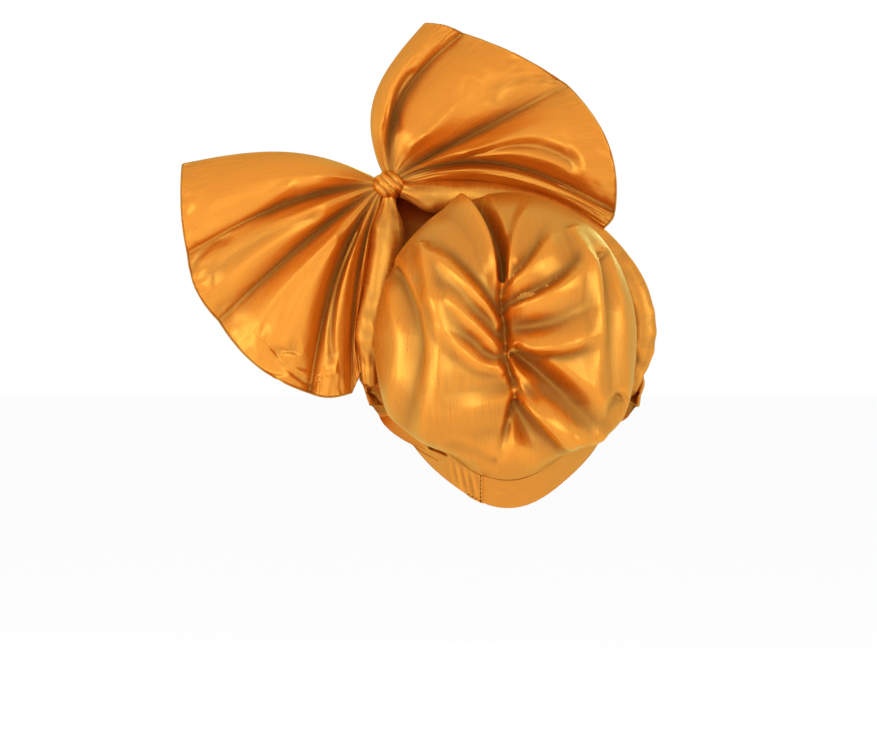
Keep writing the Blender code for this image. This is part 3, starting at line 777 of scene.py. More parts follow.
CROWN_FOLDS = [
    Fold((-0.05, 0.42), (-0.28, 1.00), -0.10, -0.0170, 0.07, 0.10, 0.3),
    Fold((-0.08, 0.40), (-0.36, 0.98), -0.10, 0.0080, 0.16, 0.06, 0.2),
    Fold((0.00, 0.40), (0.15, 0.87), 0.06, 0.0080, 0.08, 0.16, 0.6),
    Fold((-0.04, 0.30), (0.33, 0.66), -0.07, 0.0130, 0.09, 0.22, 0.4),
    Fold((-0.04, 0.20), (0.56, 0.48), -0.10, 0.0150, 0.09, 0.22, 0.3),
    Fold((-0.01, -0.03), (0.57, 0.02), -0.06, 0.0140, 0.20, 0.08, 0.3),
    Fold((0.04, -0.08), (0.50, -0.40), 0.02, -0.0170, 0.14, 0.12, 0.2),
    Fold((0.07, -0.31), (0.46, -0.60), 0.03, 0.0170, 0.16, 0.09, 0.3),
    Fold((0.05, -0.42), (0.20, -0.62), 0.00, -0.0210, 0.13, 0.12, 0.2),
    Fold((-0.07, 0.12), (-0.58, 0.56), -0.04, 0.0140, 0.18, 0.10, 0.4),
    Fold((-0.04, -0.10), (-0.54, 0.33), -0.04, 0.0130, 0.16, 0.10, 0.4),
    Fold((-0.03, -0.18), (-0.52, 0.24), 0.14, 0.0080, 0.12, 0.10, 0.5),
    Fold((0.02, -0.30), (-0.48, -0.29), 0.00, -0.0050, 0.10, 0.14, 0.8),
    Fold((-0.09, -0.66), (-0.36, -0.74), 0.00, -0.0100, 0.07, 0.08, 0.3),
    Fold((-0.09, -0.66), (-0.34, -0.60), 0.00, -0.0070, 0.06, 0.07, 0.4),
    Fold((-0.09, -0.66), (-0.04, -0.84), 0.00, -0.0130, 0.07, 0.07, 0.3),
    Fold((0.44, -0.50), (0.76, -0.60), -0.06, 0.0080, 0.12, 0.07, 0.4),
    Fold((0.82, -0.34), (0.64, -0.54), 0.00, -0.0060, 0.12, 0.14, 0.3),
    Fold((0.56, -0.74), (0.74, -0.66), 0.00, 0.0090, 0.22, 0.22, 0.0),
    Fold((-0.88, 0.50), (-0.72, -0.50), 0.10, -0.0095, 0.14, 0.16, 0.4),
    Fold((-0.62, 0.62), (-0.52, -0.45), 0.06, 0.0050, 0.12, 0.20, 0.5),
    Fold((0.48, 0.72), (0.66, -0.15), 0.08, 0.0060, 0.18, 0.12, 0.5),
    Fold((0.72, 0.58), (0.74, -0.30), 0.06, -0.0070, 0.12, 0.14, 0.5),
]


class SeamPoint(NamedTuple):
    """Where the crown's seam runs behind: shares of its rise or drop and of its half width."""

    up: float
    across: float


SEAM_PATH = [
    SeamPoint(-0.72, -0.10),
    SeamPoint(-0.66, -0.09),
    SeamPoint(-0.62, -0.05),
    SeamPoint(-0.47, 0.01),
    SeamPoint(-0.31, 0.07),
    SeamPoint(-0.22, 0.01),
    SeamPoint(-0.10, -0.04),
    SeamPoint(-0.04, -0.02),
    SeamPoint(0.20, -0.05),
    SeamPoint(0.39, -0.05),
    SeamPoint(0.50, -0.07),
]


@dataclass
class Crown:
    """The gathered bag behind and the close cap in front of it, open at the band."""

    ring: HeadRing
    wall: float = 0.0022
    set_back: float = 0.020
    mid_height: float = 0.077
    half_width: float = 0.100
    back: float = 0.112
    rise: float = 0.113
    drop: float = 0.125
    cap_ease: float = 0.006
    cap_front: float = 0.093
    cap_rise: float = 0.088
    groove_forward: float = 0.014
    groove_back: float = 0.075
    groove_width: float = 0.012
    groove_curve: float = 1.5
    sag: float = 0.011
    sag_back_steepness: float = 1.4
    sag_low_steepness: float = 2.0
    foot_share: float = 0.13
    gather_start_share: float = 0.20
    gather_facing_steepness: float = 3.0
    gather_limit: float = 0.030
    seam_depth: float = 0.013
    seam_width: float = 0.20
    seam_crease: float = 0.013
    crease_width: float = 0.035
    seam_top: float = 0.50
    seam_top_fade: float = 0.3
    seam_foot: float = -0.70
    seam_foot_fade: float = 0.2
    fold_gain: float = 1.25
    fold_start_width: float = 0.6
    fold_widening: float = 0.6
    fold_run_in: float = 0.5
    fold_run_out: float = 1.6
    fold_round_share: float = 0.7
    fold_power: float = 1.5
    lip_end: float = 1.25
    lip_fade: float = 0.5
    lip_start: float = 0.4
    lip_rise: float = 0.25
    crinkle: float = 0.0011
    crinkle_reach: float = 0.32
    soft_crinkle_share: float = 0.6
    # painted shade: hollows this deep below their neighbours get the full shade colour; the mean reaches
    # over a share of the columns
    shade_depth: float = 0.0022
    shade_reach_steps: int = 90
    column_crowding: float = 0.42
    tip_share: float = 0.995
    columns: int = 450
    rows: int = 201
    inner_step: int = 5
    flat_length: float = 0.62
    flat_width: float = 0.42
    blank_share: float = 0.6

    @property
    def centre(self) -> Array:
        """The place that the crown's radii are measured from."""
        return np.array([0.0, -self.set_back, self.mid_height])

    def egg(self, direction: Array, half_width: float, front: float, rise: float) -> Array:
        """Distance from the centre to an egg whose half lengths differ on each side.

        Args:
            direction: vectors of length 1 from the centre.
            half_width: the egg's half width.
            front: its half length in front.
            rise: its half height above.

        Returns:
            The distances.
        """
        along = np.where(direction[..., 1] < 0, self.back, front)
        up = np.where(direction[..., 2] < 0, self.drop, rise)
        shares = (direction[..., 0] / half_width) ** 2 + (direction[..., 1] / along) ** 2
        return 1.0 / np.sqrt(shares + (direction[..., 2] / up) ** 2)

    def smooth_radius(self, direction: Array) -> tuple[Array, Array]:
        """The bag's and cap's radius before the gathers, and the share of it that is bag.

        Args:
            direction: vectors of length 1 from the centre.

        Returns:
            The radius and the share, which is 1 behind the groove and 0 before it.
        """
        bag = self.egg(direction, self.half_width, self.back, self.rise)
        cap = self.egg(direction, self.ring.half_width + self.cap_ease, self.cap_front, self.cap_rise)
        at = self.centre + bag[..., None] * direction
        below = np.clip((self.mid_height - at[..., 2]) / self.drop, 0.0, 1.0)
        line = self.groove_forward - self.groove_back * below**self.groove_curve
        behind = 1.0 - smooth((at[..., 1] - line) / self.groove_width + 0.5)
        return cap + (bag - cap) * behind, behind

    def gathers(self, across: Array, up: Array) -> Array:
        """The height of the folds at places seen from behind.

        Args:
            across: shares of the half width.
            up: shares of the rise or drop.

        Returns:
            The heights, which no fold takes past the gathers' limit.
        """
        path = np.array(sorted(SEAM_PATH))
        seam = across - np.interp(up, path[:, 0], path[:, 1])
        held = smooth((self.seam_top - up) / self.seam_top_fade)
        held = held * smooth((up - self.seam_foot) / self.seam_foot_fade)
        total = -self.seam_depth * np.exp(-((seam / self.seam_width) ** 2)) * held
        total = total - self.seam_crease * np.exp(-((seam / self.crease_width) ** 2)) * held
        for fold in CROWN_FOLDS:
            start, end = np.array(fold.start), np.array(fold.end)
            run = end - start
            length = np.hypot(*run)
            ahead, side = run / length, np.array([-run[1], run[0]]) / length
            x, y = across - start[0], up - start[1]
            along = (x * ahead[0] + y * ahead[1]) / length
            inside = np.clip(along, 0.0, 1.0)
            off = x * side[0] + y * side[1] - fold.bow * length * 4 * inside * (1 - inside)
            width = np.where(off > 0, fold.left, fold.right)
            width = width * (self.fold_start_width + self.fold_widening * inside)
            before, after = np.maximum(-along, 0.0) * length, np.maximum(along - 1.0, 0.0) * length
            over = before / self.fold_run_in + after / self.fold_run_out
            near = np.clip(1.0 - np.hypot(off / width, over / width), 0.0, 1.0)
            form = self.fold_round_share * smooth(near)
            form = form + (1.0 - self.fold_round_share) * near**self.fold_power
            form = self.fold_gain * fold.height * (1 - fold.fade * inside) * form
            if fold.height > 0:
                rising = self.lip_start + (1.0 - self.lip_start) * smooth(along / self.lip_rise)
                form = form * smooth((self.lip_end - along) / self.lip_fade) * rising
            total = total + form
        near_seam = np.exp(-((seam / self.crinkle_reach) ** 2)) * held
        fine = ripples(across * 2.0, up * 7.0, 1.0, 0.3) * near_seam
        total = total + self.crinkle * fine
        total = total + self.crinkle * self.soft_crinkle_share * ripples(across, up, 0.55, 0.7)
        return self.gather_limit * np.tanh(total / self.gather_limit)

    def face(self, inset: float, columns: int, rows: int) -> ClothFace:
        """One face of the crown, inset from the outer skin.

        Args:
            inset: how far inside the outer skin the face lies.
            columns: how many columns go round.
            rows: how many rows go from the band to the top.

        Returns:
            The face, with one column of flat places more than of points.
        """
        turn = np.linspace(-math.pi, math.pi, columns + 1)
        azimuth = (turn - self.column_crowding * np.sin(turn))[None]
        height = np.linspace(0.0, self.tip_share, rows)[:, None]
        foot_out = self.ring.wall(azimuth)
        foot = self.ring.place(azimuth, foot_out, self.ring.band_height + self.ring.seat_gap)
        foot = foot - self.centre
        flat = np.hypot(foot[..., 0], foot[..., 1])
        low = np.arctan2(foot[..., 2], flat)
        tip = low + (math.pi / 2 - low) * height
        sideways = foot[..., 0] / flat * np.cos(tip)
        direction = np.stack([sideways, foot[..., 1] / flat * np.cos(tip), np.sin(tip)], axis=-1)
        radius, behind = self.smooth_radius(direction)
        at = direction * radius[..., None]
        across = at[..., 0] / self.half_width
        up = at[..., 2] / np.where(at[..., 2] > 0, self.rise, self.drop)
        facing = smooth(0.5 - direction[..., 1] * self.gather_facing_steepness)
        low_back = smooth(-direction[..., 1] * self.sag_back_steepness)
        low_back = low_back * smooth(-direction[..., 2] * self.sag_low_steepness)
        gathered = behind * facing * smooth(height / self.gather_start_share)
        fold = self.gathers(across, up)
        radius = radius + self.sag * low_back + fold * gathered
        held = 1.0 - smooth(height / self.foot_share)
        radius = radius + (np.linalg.norm(foot, axis=-1) - radius) * held
        points = self.centre + direction * (radius - inset)[..., None]
        around = azimuth * self.half_width + 0 * height
        along = (tip - low) * (self.rise + self.drop) / 2
        places = np.stack([around, along], axis=-1)
        # painted shade: places sunk below their neighbours' mean are painted darker, those above it
        # nearer the cloth's own colour
        form = (fold * gathered * (1 - held))[:, :-1]
        relief = cavity(form, max(2, columns // self.shade_reach_steps), closed=True) / self.shade_depth
        return ClothFace(points[:, :-1], places, relief.clip(-1, 1))

    def build(self) -> bpy.types.Object:
        """Makes the crown.

        Returns:
            The crown.
        """
        outer = self.face(0.0, self.columns, self.rows)
        inner_rows = (self.rows - 1) // self.inner_step + 1
        inner = self.face(self.wall, self.columns // self.inner_step, inner_rows)
        piece = Shell("crown_cloth", outer, inner, closed=True, tipped=True, edge_bulge=0.05).build()
        return piece


# Rolls


class ArchPoint(NamedTuple):
    """A point of the rolls' line, seen from behind: shares of the arch's half width and height."""

    across: float
    up: float


LEFT_LIMB = [
    ArchPoint(-0.96, 0.285),
    ArchPoint(-0.965, 0.350),
    ArchPoint(-0.95, 0.470),
    ArchPoint(-0.90, 0.600),
    ArchPoint(-0.85, 0.790),
]
RIGHT_LIMB = [
    ArchPoint(-0.54, 0.990),
    ArchPoint(-0.18, 0.985),
    ArchPoint(0.18, 0.945),
    ArchPoint(0.46, 0.880),
    ArchPoint(0.71, 0.775),
    ArchPoint(0.91, 0.620),
    ArchPoint(0.98, 0.480),
    ArchPoint(0.97, 0.340),
    ArchPoint(0.93, 0.255),
]


@dataclass
class Knot:
    """The small wrapped knot, at the place and size of its solid."""

    centre: Array
    half: Array
    columns: int = 96
    rows: int = 49
    seat_gap: float = 0.0003
    tuck: float = 0.0018
    wrap_height: float = 0.0013
    wrap_rate: float = 5.5
    wrap_twist: float = 1.5
    wrap_power: float = 0.7
    crush_height: float = 0.0004
    # painted shade: how strongly the cloth between the wraps is painted darker
    tone: float = 1.2
    fill: float = 0.8

    @classmethod
    def from_frame(cls) -> "Knot":
        """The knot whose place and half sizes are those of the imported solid."""
        low, high = (np.array(corner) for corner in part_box("knot"))
        return cls((low + high) / 2, (high - low) / 2)

    def radius(self, direction: Array) -> Array:
        """Distance from the knot's middle to its skin."""
        shares = (np.asarray(direction) / self.half) ** 2
        return 1.0 / np.sqrt(shares.sum(axis=-1))


@dataclass
class Roll:
    """A padded tube of cloth that runs from the knot along the arch."""

    name: str
    knot: Knot
    points: Array
    radius: float
    stations: int
    neck_radius: float = 0.0065
    end_radius: float = 0.009
    swell: float = 0.028
    sides: int = 72
    wrinkle: float = 0.0007
    spiral_share: float = 0.5
    second_share: float = 0.35
    cross_share: float = 0.25
    crushed_share: float = 0.9
    small_share: float = 0.35
    neck_pull: float = 0.022
    end_pull: float = 0.020
    end_crush: float = 0.030
    start_dome: float = 0.0002
    end_dome: float = 0.0260
    cap_rings: int = 7
    # painted shade: how strongly the roll's wrinkles are painted darker in their hollows
    tone: float = 0.5
    fill: float = 0.9

    def __post_init__(self) -> None:
        """Works out the roll's line, radii and run."""
        line = through(np.vstack([self.knot.centre[None], self.points]), CURVE_STEPS * len(self.points))
        away = line[1:] - self.knot.centre
        clear = self.knot.radius(unit(away)) + self.knot.seat_gap
        outside = np.linalg.norm(away, axis=1) > clear
        way = unit(away[outside][0])
        start = self.knot.centre + way * (self.knot.radius(way) - self.knot.tuck)
        self.line = evenly(np.vstack([start[None], line[1:][outside]]), self.stations)
        self.run = run_along(self.line)
        whole = self.run[-1]
        neck = smooth(self.run / self.swell)
        end = smooth((whole - self.run) / self.swell)
        self.radii = self.neck_radius + (self.radius - self.neck_radius) * neck
        self.radii = self.radii + (self.end_radius - self.radius) * (1 - end) * neck

    def inward(self) -> Array:
        """Across the line, in the plane seen from behind, on its right-hand side going along."""
        ahead = unit(np.gradient(self.line, axis=0))
        return unit(np.stack([ahead[:, 2], np.zeros(len(ahead)), -ahead[:, 0]], axis=1))

    def build(self) -> bpy.types.Object:
        """Makes the roll, puckered at its neck and end, with softly rounded ends.

        Returns:
            The roll.
        """
        ahead = unit(np.gradient(self.line, axis=0))
        side = self.inward()
        other = np.cross(ahead, side)
        turn = np.linspace(0, 2 * math.pi, self.sides + 1)
        run = self.run[:, None]
        whole = self.run[-1]
        pulled = np.exp(-run / self.neck_pull) + np.exp(-(whole - run) / self.end_pull)
        spiral = np.sin(turn * 5 + run * 210) * self.spiral_share
        spiral = spiral + np.sin(turn * 9 - run * 150 + 1.3) * self.second_share
        cross = ripples(run * 90 + np.cos(turn) * 0.7, np.sin(turn) * 0.9 + run * 12, 1.2, 0.6)
        small = ripples(run * 38, np.cos(turn + 0.4) * 1.6, 1.5, 0.2)
        crushed = self.cross_share + self.crushed_share * np.exp(-(whole - run) / self.end_crush)
        waves = spiral * pulled + cross * crushed + self.small_share * small
        radii = self.radii[:, None] + self.wrinkle * waves - self.wrinkle
        ring = side[:, None] * np.cos(turn)[None, :, None] + other[:, None] * np.sin(turn)[None, :, None]
        tube = self.line[:, None] + ring * radii[..., None]
        caps = []
        dome = np.linspace(0, math.pi / 2, self.cap_rings + 2)[1:-1]
        for at, reach in ((0, -self.start_dome), (-1, self.end_dome)):
            rings = self.line[at] + (tube[at] - self.line[at])[None] * np.cos(dome)[:, None, None]
            caps.append(rings + ahead[at] * (np.sin(dome) * reach)[:, None, None])
        grid = np.concatenate([caps[0][::-1], tube, caps[1]])
        plain = np.zeros((self.cap_rings, self.sides + 1))
        relief = np.concatenate([plain, waves, plain])
        length = np.concatenate([np.full(self.cap_rings, 0.0), self.run, np.full(self.cap_rings, whole)])
        flat = np.stack(np.broadcast_arrays(turn[None] * self.radius, length[:, None]), axis=-1)
        # painted shade: the wrinkle waves darken the roll's colour in their hollows
        piece = closed_tube(self.name, grid[:, :-1], flat, relief[:, :-1].clip(-1, 1) * self.tone)
        return piece


def closed_tube(name: str, grid: Array, flat: Array, relief: Array) -> bpy.types.Object:
    """A solid skinned over rings of points, closed by a point at each end.

    Args:
        name: the object's name.
        grid: rings of points, a row to each.
        flat: the places in the flat cloth, with one column more.
        relief: the relief at each point.

    Returns:
        The object.
    """
    rows, columns = grid.shape[:2]
    r, c = np.meshgrid(np.arange(rows - 1), np.arange(columns), indexing="ij")
    r, c = r.ravel(), c.ravel()
    d = (c + 1) % columns
    order = [(r, c, c), (r + 1, c, c), (r + 1, d, c + 1), (r, d, c + 1)]
    faces = np.stack([row * columns + at for row, at, _ in order], axis=1).tolist()
    corners = [np.stack([flat[row, at] for row, _, at in order], axis=1).reshape(-1, 2)]
    first, last = rows * columns, rows * columns + 1
    base = (rows - 1) * columns
    for c in range(columns):
        d = (c + 1) % columns
        faces.append((first, c, d))
        corners.append(flat[[0, 0, 0], [c, c, c + 1]])
        faces.append((last, base + d, base + c))
        corners.append(flat[[-1, -1, -1], [c, c + 1, c]])
    places = np.vstack([grid.reshape(-1, 3), grid[0].mean(axis=0), grid[-1].mean(axis=0)])
    mesh = bpy.data.meshes.new(name)
    mesh.from_pydata(places.tolist(), [], faces)
    layer = mesh.uv_layers.new(name="cloth")
    layer.data.foreach_set("uv", np.vstack(corners).astype(np.float32).ravel())
    # the relief attribute carries the painted-shade tone to the material
    values = mesh.attributes.new("relief", "FLOAT", "POINT")
    values.data.foreach_set("value", np.append(relief.ravel(), [0.0, 0.0]).astype(np.float32))
    mesh.shade_smooth()
    obj = bpy.data.objects.new(name, mesh)
    bpy.context.scene.collection.objects.link(obj)
    face_outwards(mesh)
    return obj


def build_knot(knot: Knot) -> bpy.types.Object:
    """Makes the knot: cloth wrapped tightly round, with folds along the wrap.

    Args:
        knot: the knot's place and sizes.

    Returns:
        The knot.
    """
    turn = np.linspace(0, 2 * math.pi, knot.columns + 1)[None]
    rise = np.linspace(-math.pi / 2, math.pi / 2, knot.rows)[1:-1, None]
    around = np.cos(rise)
    direction = [around * np.cos(turn), np.sin(rise) + 0 * turn, around * np.sin(turn)]
    direction = np.stack(direction, axis=-1)
    lean = direction[..., 0] * 0.6 + direction[..., 2] * 0.8
    wraps = np.abs(np.sin(lean * knot.wrap_rate + direction[..., 0] * knot.wrap_twist))
    wraps = wraps**knot.wrap_power
    crush = ripples(direction[..., 0] * 2, direction[..., 2] * 2 + direction[..., 1], 1.3, 0.5)
    height = knot.wrap_height * wraps + knot.crush_height * (crush - 1.0)
    radius = knot.radius(direction) + height
    grid = knot.centre + direction * radius[..., None]
    flat = np.stack(np.broadcast_arrays(turn * knot.half[0], rise * knot.half[1]), axis=-1)
    # painted shade: the cloth between the wraps is painted darker
    piece = closed_tube("knot_cloth", grid[:, :-1], flat, (wraps[:, :-1] - 0.5) * knot.tone)
    return piece


# Front panel


@dataclass
class FrontPanel:
    """The standing panel that runs from the band up to the rolls, before the crown."""

    ring: HeadRing
    crown: Crown
    knot: Knot
    left: Roll
    right: Roll
    wall: float = 0.0030
    bulge: float = 0.020
    lean: float = 0.014
    left_flare: float = 0.016
    right_flare: float = 0.012
    end_share: float = 0.045
    end_sweep: float = 0.12
    over_band: float = 0.021
    brow_drop: float = 0.005
    under_roll: float = 0.25
    low_bend_share: float = 0.33
    top_bend_share: float = 0.28
    top_flare_share: float = 0.4
    row_crowding: float = 1.3
    left_end_deg: float = 52.0
    right_end_deg: float = 80.0
    clearance: float = 0.0025
    band_clearance: float = 0.0008
    roll_clearance: float = 0.0026
    edge_clearance: float = 0.0012
    rows: int = 8
    easing: int = 6
    finer_columns: int = 8
    finer_rows: int = 4
    left_stations: int = 15
    right_stations: int = 28
    inner_step: int = 4
    knot_spread: float = 1.8
    aside_share: float = 0.6
    ahead_share: float = 0.8
    round_ends: float = 4.0
    corner_share: float = 0.12
    corner_lift: float = 0.5
    hem_reach: float = 0.010
    hem_outward: float = 0.0008
    tuck_reach: float = 0.008
    tuck_gap: float = 0.0006
    tuck_start: float = 0.12
    least_pull: float = 0.02
    end_reach: float = 0.030
    end_start: float = 0.15
    end_rise: float = 0.25
    end_thinning: float = 0.92
    sink: float = 0.0022
    sink_reach: float = 0.032
    sink_start: float = 0.25
    sink_rise: float = 0.35
    pleat_height: float = 0.0016
    pleat_rate: float = 6.5
    pleat_power: float = 0.7
    pleat_mean: float = 0.6
    pleat_meet: float = 1.15
    pleat_turn: float = 0.9
    pleat_start: float = 0.15
    pleat_fade: float = 0.5
    ripple_height: float = 0.0008
    deepest: float = -0.0015
    shade_depth: float = 0.003
    # painted shade: the inner face, towards the crown, is given the darker shade colour all over
    inner_shade: float = -0.5
    flat_height_share: float = 1.6

    def surface(self, tree: BVHTree) -> Array:
        """The inner face as a grid of points.

        Args:
            tree: the crown's faces, which the panel stays clear of.

        Returns:
            The grid, a row to each step up and a column to each place along the rolls.
        """
        left = np.linspace(0, len(self.left.line) - 1, self.left_stations).round().astype(int)[::-1]
        right = np.linspace(0, len(self.right.line) - 1, self.right_stations).round().astype(int)
        line = np.vstack([self.left.line[left], self.knot.centre[None], self.right.line[right]])
        knot_reach = float(self.knot.half.max())
        radii = np.concatenate([self.left.radii[left], [knot_reach], self.right.radii[right]])
        toward = [-self.left.inward()[left], np.zeros((1, 3)), self.right.inward()[right]]
        toward = np.concatenate(toward)
        near_knot = np.linalg.norm(line - self.knot.centre, axis=1) < knot_reach * self.knot_spread
        reach = np.where(near_knot, np.maximum(radii, knot_reach), radii) + self.ring.seat_gap
        run = np.linspace(0.0, 1.0, len(line))[:, None]
        near_left = 1.0 - smooth(run / self.end_share)
        near_right = 1.0 - smooth((1.0 - run) / self.end_share)
        at_end = near_left + near_right
        under_end = near_left * unit(line[0] - line[1]) + near_right * unit(line[-1] - line[-2])
        seat_way = (toward * self.under_roll + FORWARD) * (1.0 - at_end) + under_end
        aside = unit((line - self.crown.centre) * UPRIGHT)
        before = aside * self.aside_share + FORWARD * self.ahead_share
        ways = unit(before * (1.0 - at_end) + under_end)
        from_end = np.minimum(run, 1.0 - run)[:, 0]
        round_end = smooth(1.0 - from_end / (self.round_ends * self.end_share))
        seat_gap = np.maximum(self.edge_clearance, self.roll_clearance * round_end)
        seats = spheres_along(line, radii + self.ring.seat_gap + seat_gap)
        top = line + unit(seat_way) * reach[:, None]
        top = before_rolls(top, ways, seats)
        turned = 360 - self.left_end_deg - self.right_end_deg
        swept = run[:, 0] + self.end_sweep * np.sin(2 * math.pi * run[:, 0])
        azimuth = -np.radians(self.left_end_deg + swept * turned)
        outside = self.ring.band_wall + self.band_clearance
        corner = smooth(1.0 - from_end / self.corner_share)
        over = self.over_band + (self.brow_drop - self.over_band) * self.corner_lift * corner
        foot = self.ring.place(azimuth, outside, self.ring.band_height - over)
        brow = self.ring.place(azimuth, outside, self.ring.band_height - self.brow_drop)
        out = unit(((brow + top) / 2 - self.crown.centre) * LEVEL)
        lean = out * at_end + FORWARD * (1.0 - at_end)
        flare = self.bulge + self.left_flare * near_left + self.right_flare * near_right
        first = brow + out * flare + (top - brow) * self.low_bend_share
        second = top + lean * self.lean + (brow - top) * self.top_bend_share
        second = second + out * flare * self.top_flare_share
        rise = (np.linspace(0.0, 1.0, self.rows) ** self.row_crowding)[:, None, None]
        fall = 1.0 - rise
        grid = brow * fall**3 + 3 * first * fall**2 * rise + 3 * second * fall * rise**2 + top * rise**3
        spheres = spheres_along(line, radii + self.ring.seat_gap + self.roll_clearance)
        for _ in range(self.easing):
            grid[1:-1, 1:-1] = (grid[1:-1, :-2] + 2 * grid[1:-1, 1:-1] + grid[1:-1, 2:]) / 4
            grid[1:-1] = (grid[:-2] + 4 * grid[1:-1] + grid[2:]) / 6
            for row in grid[1:-1]:
                row[:] = before_rolls(self.outside_crown(row, tree), ways, spheres)
        grid = finer(np.concatenate([foot[None], grid]), self.finer_rows)
        return finer(grid.transpose(1, 0, 2), self.finer_columns).transpose(1, 0, 2)

    def outside_crown(self, row: Array, tree: BVHTree) -> Array:
        """Moves places outwards from the crown's centre until they are clear of the crown.

        Args:
            row: the places.
            tree: the crown's faces.

        Returns:
            The moved places.
        """
        moved = row.copy()
        centre = self.crown.centre
        for k, place in enumerate(row):
            way = unit(place - centre)
            hit = tree.ray_cast(Vector(centre + way), Vector(-way), 1.0)[0]
            if hit is None:
                continue
            least = np.linalg.norm(np.array(hit) - centre) + self.clearance
            moved[k] = place + way * max(0.0, least - np.linalg.norm(place - centre))
        return moved

    def tucked(self, grid: Array, from_end: Array, share: Array, tree: BVHTree) -> Array:
        """Draws the inner face's ends in to the crown, so that each end closes as a thick hem.

        Args:
            grid: the inner face.
            from_end: how far each place is from the nearer end edge.
            share: how far up the panel each place is.
            tree: the crown's faces.

        Returns:
            The moved grid.
        """
        pull = np.exp(-((from_end / self.tuck_reach) ** 2)) * smooth(share / self.tuck_start)
        moved = grid.copy()
        centre = self.crown.centre
        for r, c in zip(*np.nonzero(pull > self.least_pull)):
            way = unit(grid[r, c] - centre)
            hit = tree.ray_cast(Vector(centre + way), Vector(-way), 1.0)[0]
            if hit is None:
                continue
            seat = np.array(hit) + way * self.tuck_gap
            moved[r, c] = grid[r, c] + (seat - grid[r, c]) * pull[r, c]
        return moved

    def build(self, crown_piece: bpy.types.Object) -> bpy.types.Object:
        """Makes the panel, with soft pleats that run up to the knot.

        Args:
            crown_piece: the crown, which the panel stays clear of.

        Returns:
            The panel.
        """
        tree = BVHTree.FromObject(crown_piece, bpy.context.evaluated_depsgraph_get())
        inner = self.surface(tree)
        rows, columns = inner.shape[:2]
        v = np.linspace(0.0, 1.0, rows)[:, None]
        u = np.linspace(0.0, 1.0, columns)[None]
        length = np.linalg.norm(np.diff(inner, axis=1), axis=-1).sum(axis=1).max()
        across = np.gradient(inner, axis=1)
        up = np.gradient(inner, axis=0)
        normal = unit(np.cross(up, across))
        normal *= np.sign((normal * (inner - self.crown.centre)).sum(axis=-1, keepdims=True))
        inside = np.sin(math.pi * v).clip(0) ** 0.6 * np.sin(math.pi * u).clip(0) ** 0.5
        knot_at = self.left_stations / (self.left_stations + self.right_stations)
        sweep = (u - knot_at) / (self.pleat_meet - v) + self.pleat_turn * v
        pleats = np.abs(np.sin(sweep * self.pleat_rate)) ** self.pleat_power - self.pleat_mean
        waves = self.pleat_height * pleats * smooth((v - self.pleat_start) / self.pleat_fade)
        waves = waves + self.ripple_height * ripples(u * 9, v * 3, 1.3, 0.35)
        from_end = np.minimum(u, 1 - u) * length + 0 * v
        hem = np.exp(-((from_end / self.hem_reach) ** 2))
        thick = self.wall + np.maximum(waves * inside, self.deepest) + self.hem_outward * hem
        thinned = 1 - smooth(from_end / self.end_reach)
        thinned = thinned * (1 - smooth((v - self.end_start) / self.end_rise))
        outer = inner + normal * (thick * (1 - self.end_thinning * thinned))[..., None]
        inner = self.tucked(inner, from_end, v + 0 * u, tree)
        sunk = 1 - smooth(from_end / self.sink_reach)
        sunk = sunk * (1 - smooth((v - self.sink_start) / self.sink_rise))
        sinking = normal * (self.sink * sunk)[..., None]
        inner, outer = inner - sinking, outer - sinking
        height = np.linalg.norm(np.diff(inner, axis=0), axis=-1).sum(axis=0).mean()
        flat = np.stack(np.broadcast_arrays(u * length, v * height), axis=-1)
        # painted shade: the pleats' hollows are painted darker
        relief = np.clip(waves * inside / self.shade_depth, -1, 1)
        face = ClothFace(outer, flat, relief)
        step = self.inner_step
        coarse = inner[::step, ::step]
        # the inner face carries one even painted-shade tone
        back = ClothFace(coarse, flat[::step, ::step], np.full(coarse.shape[:2], self.inner_shade))
        piece = Shell("front_panel_cloth", face, back, edge_bulge=0.3).build()
        return piece


def finer(grid: Array, steps: int) -> Array:
    """A grid with smooth rows added between its own.

    Args:
        grid: the grid of points.
        steps: how many steps each old step becomes.

    Returns:
        The finer grid, which keeps every row of the old one.
    """
    padded = np.concatenate([2 * grid[:1] - grid[1:2], grid, 2 * grid[-1:] - grid[-2:-1]])
    t = (np.arange(steps) / steps)[:, None, None]
    made = []
    for before, start, end, after in zip(padded, padded[1:], padded[2:], padded[3:]):
        bend = (2 * before - 5 * start + 4 * end - after) * t**2
        twist = (3 * start - before - 3 * end + after) * t**3
        made.append(0.5 * (2 * start + (end - before) * t + bend + twist))
    return np.concatenate([*made, grid[-1:]])


def spheres_along(line: Array, reach: Array) -> tuple[Array, Array]:
    """Spheres close together along the rolls: their middles and radii.

    Args:
        line: points along the rolls.
        reach: a radius for each point.

    Returns:
        The spheres' middles and radii.
    """
    at = np.linspace(0, len(line) - 1, SPHERES_TO_A_STATION * len(line))
    known = np.arange(len(line))
    middles = np.stack([np.interp(at, known, line[:, k]) for k in range(3)], axis=1)
    return middles, np.interp(at, known, reach)


def before_rolls(row: Array, ways: Array, spheres: tuple[Array, Array]) -> Array:
    """Moves places along their own ways until no part of the rolls is ahead of them.

    Args:
        row: the places.
        ways: a direction for each place.
        spheres: middles and radii of spheres along the rolls.

    Returns:
        The moved places.
    """
    middles, reach = spheres
    away = row[:, None] - middles[None]
    back = (away * ways[:, None]).sum(axis=-1)
    hidden = back**2 - (away**2).sum(axis=-1) + reach**2
    ahead = np.where(hidden > 0, np.sqrt(np.maximum(hidden, 0.0)) - back, 0.0)
    return row + ways * np.maximum(ahead.max(axis=1), 0.0)[:, None]


# Bow


class Side(Enum):
    """On which side of its roll a wing lies, going out from the knot and seen from behind."""

    CLOCKWISE = -1
    ANTICLOCKWISE = 1


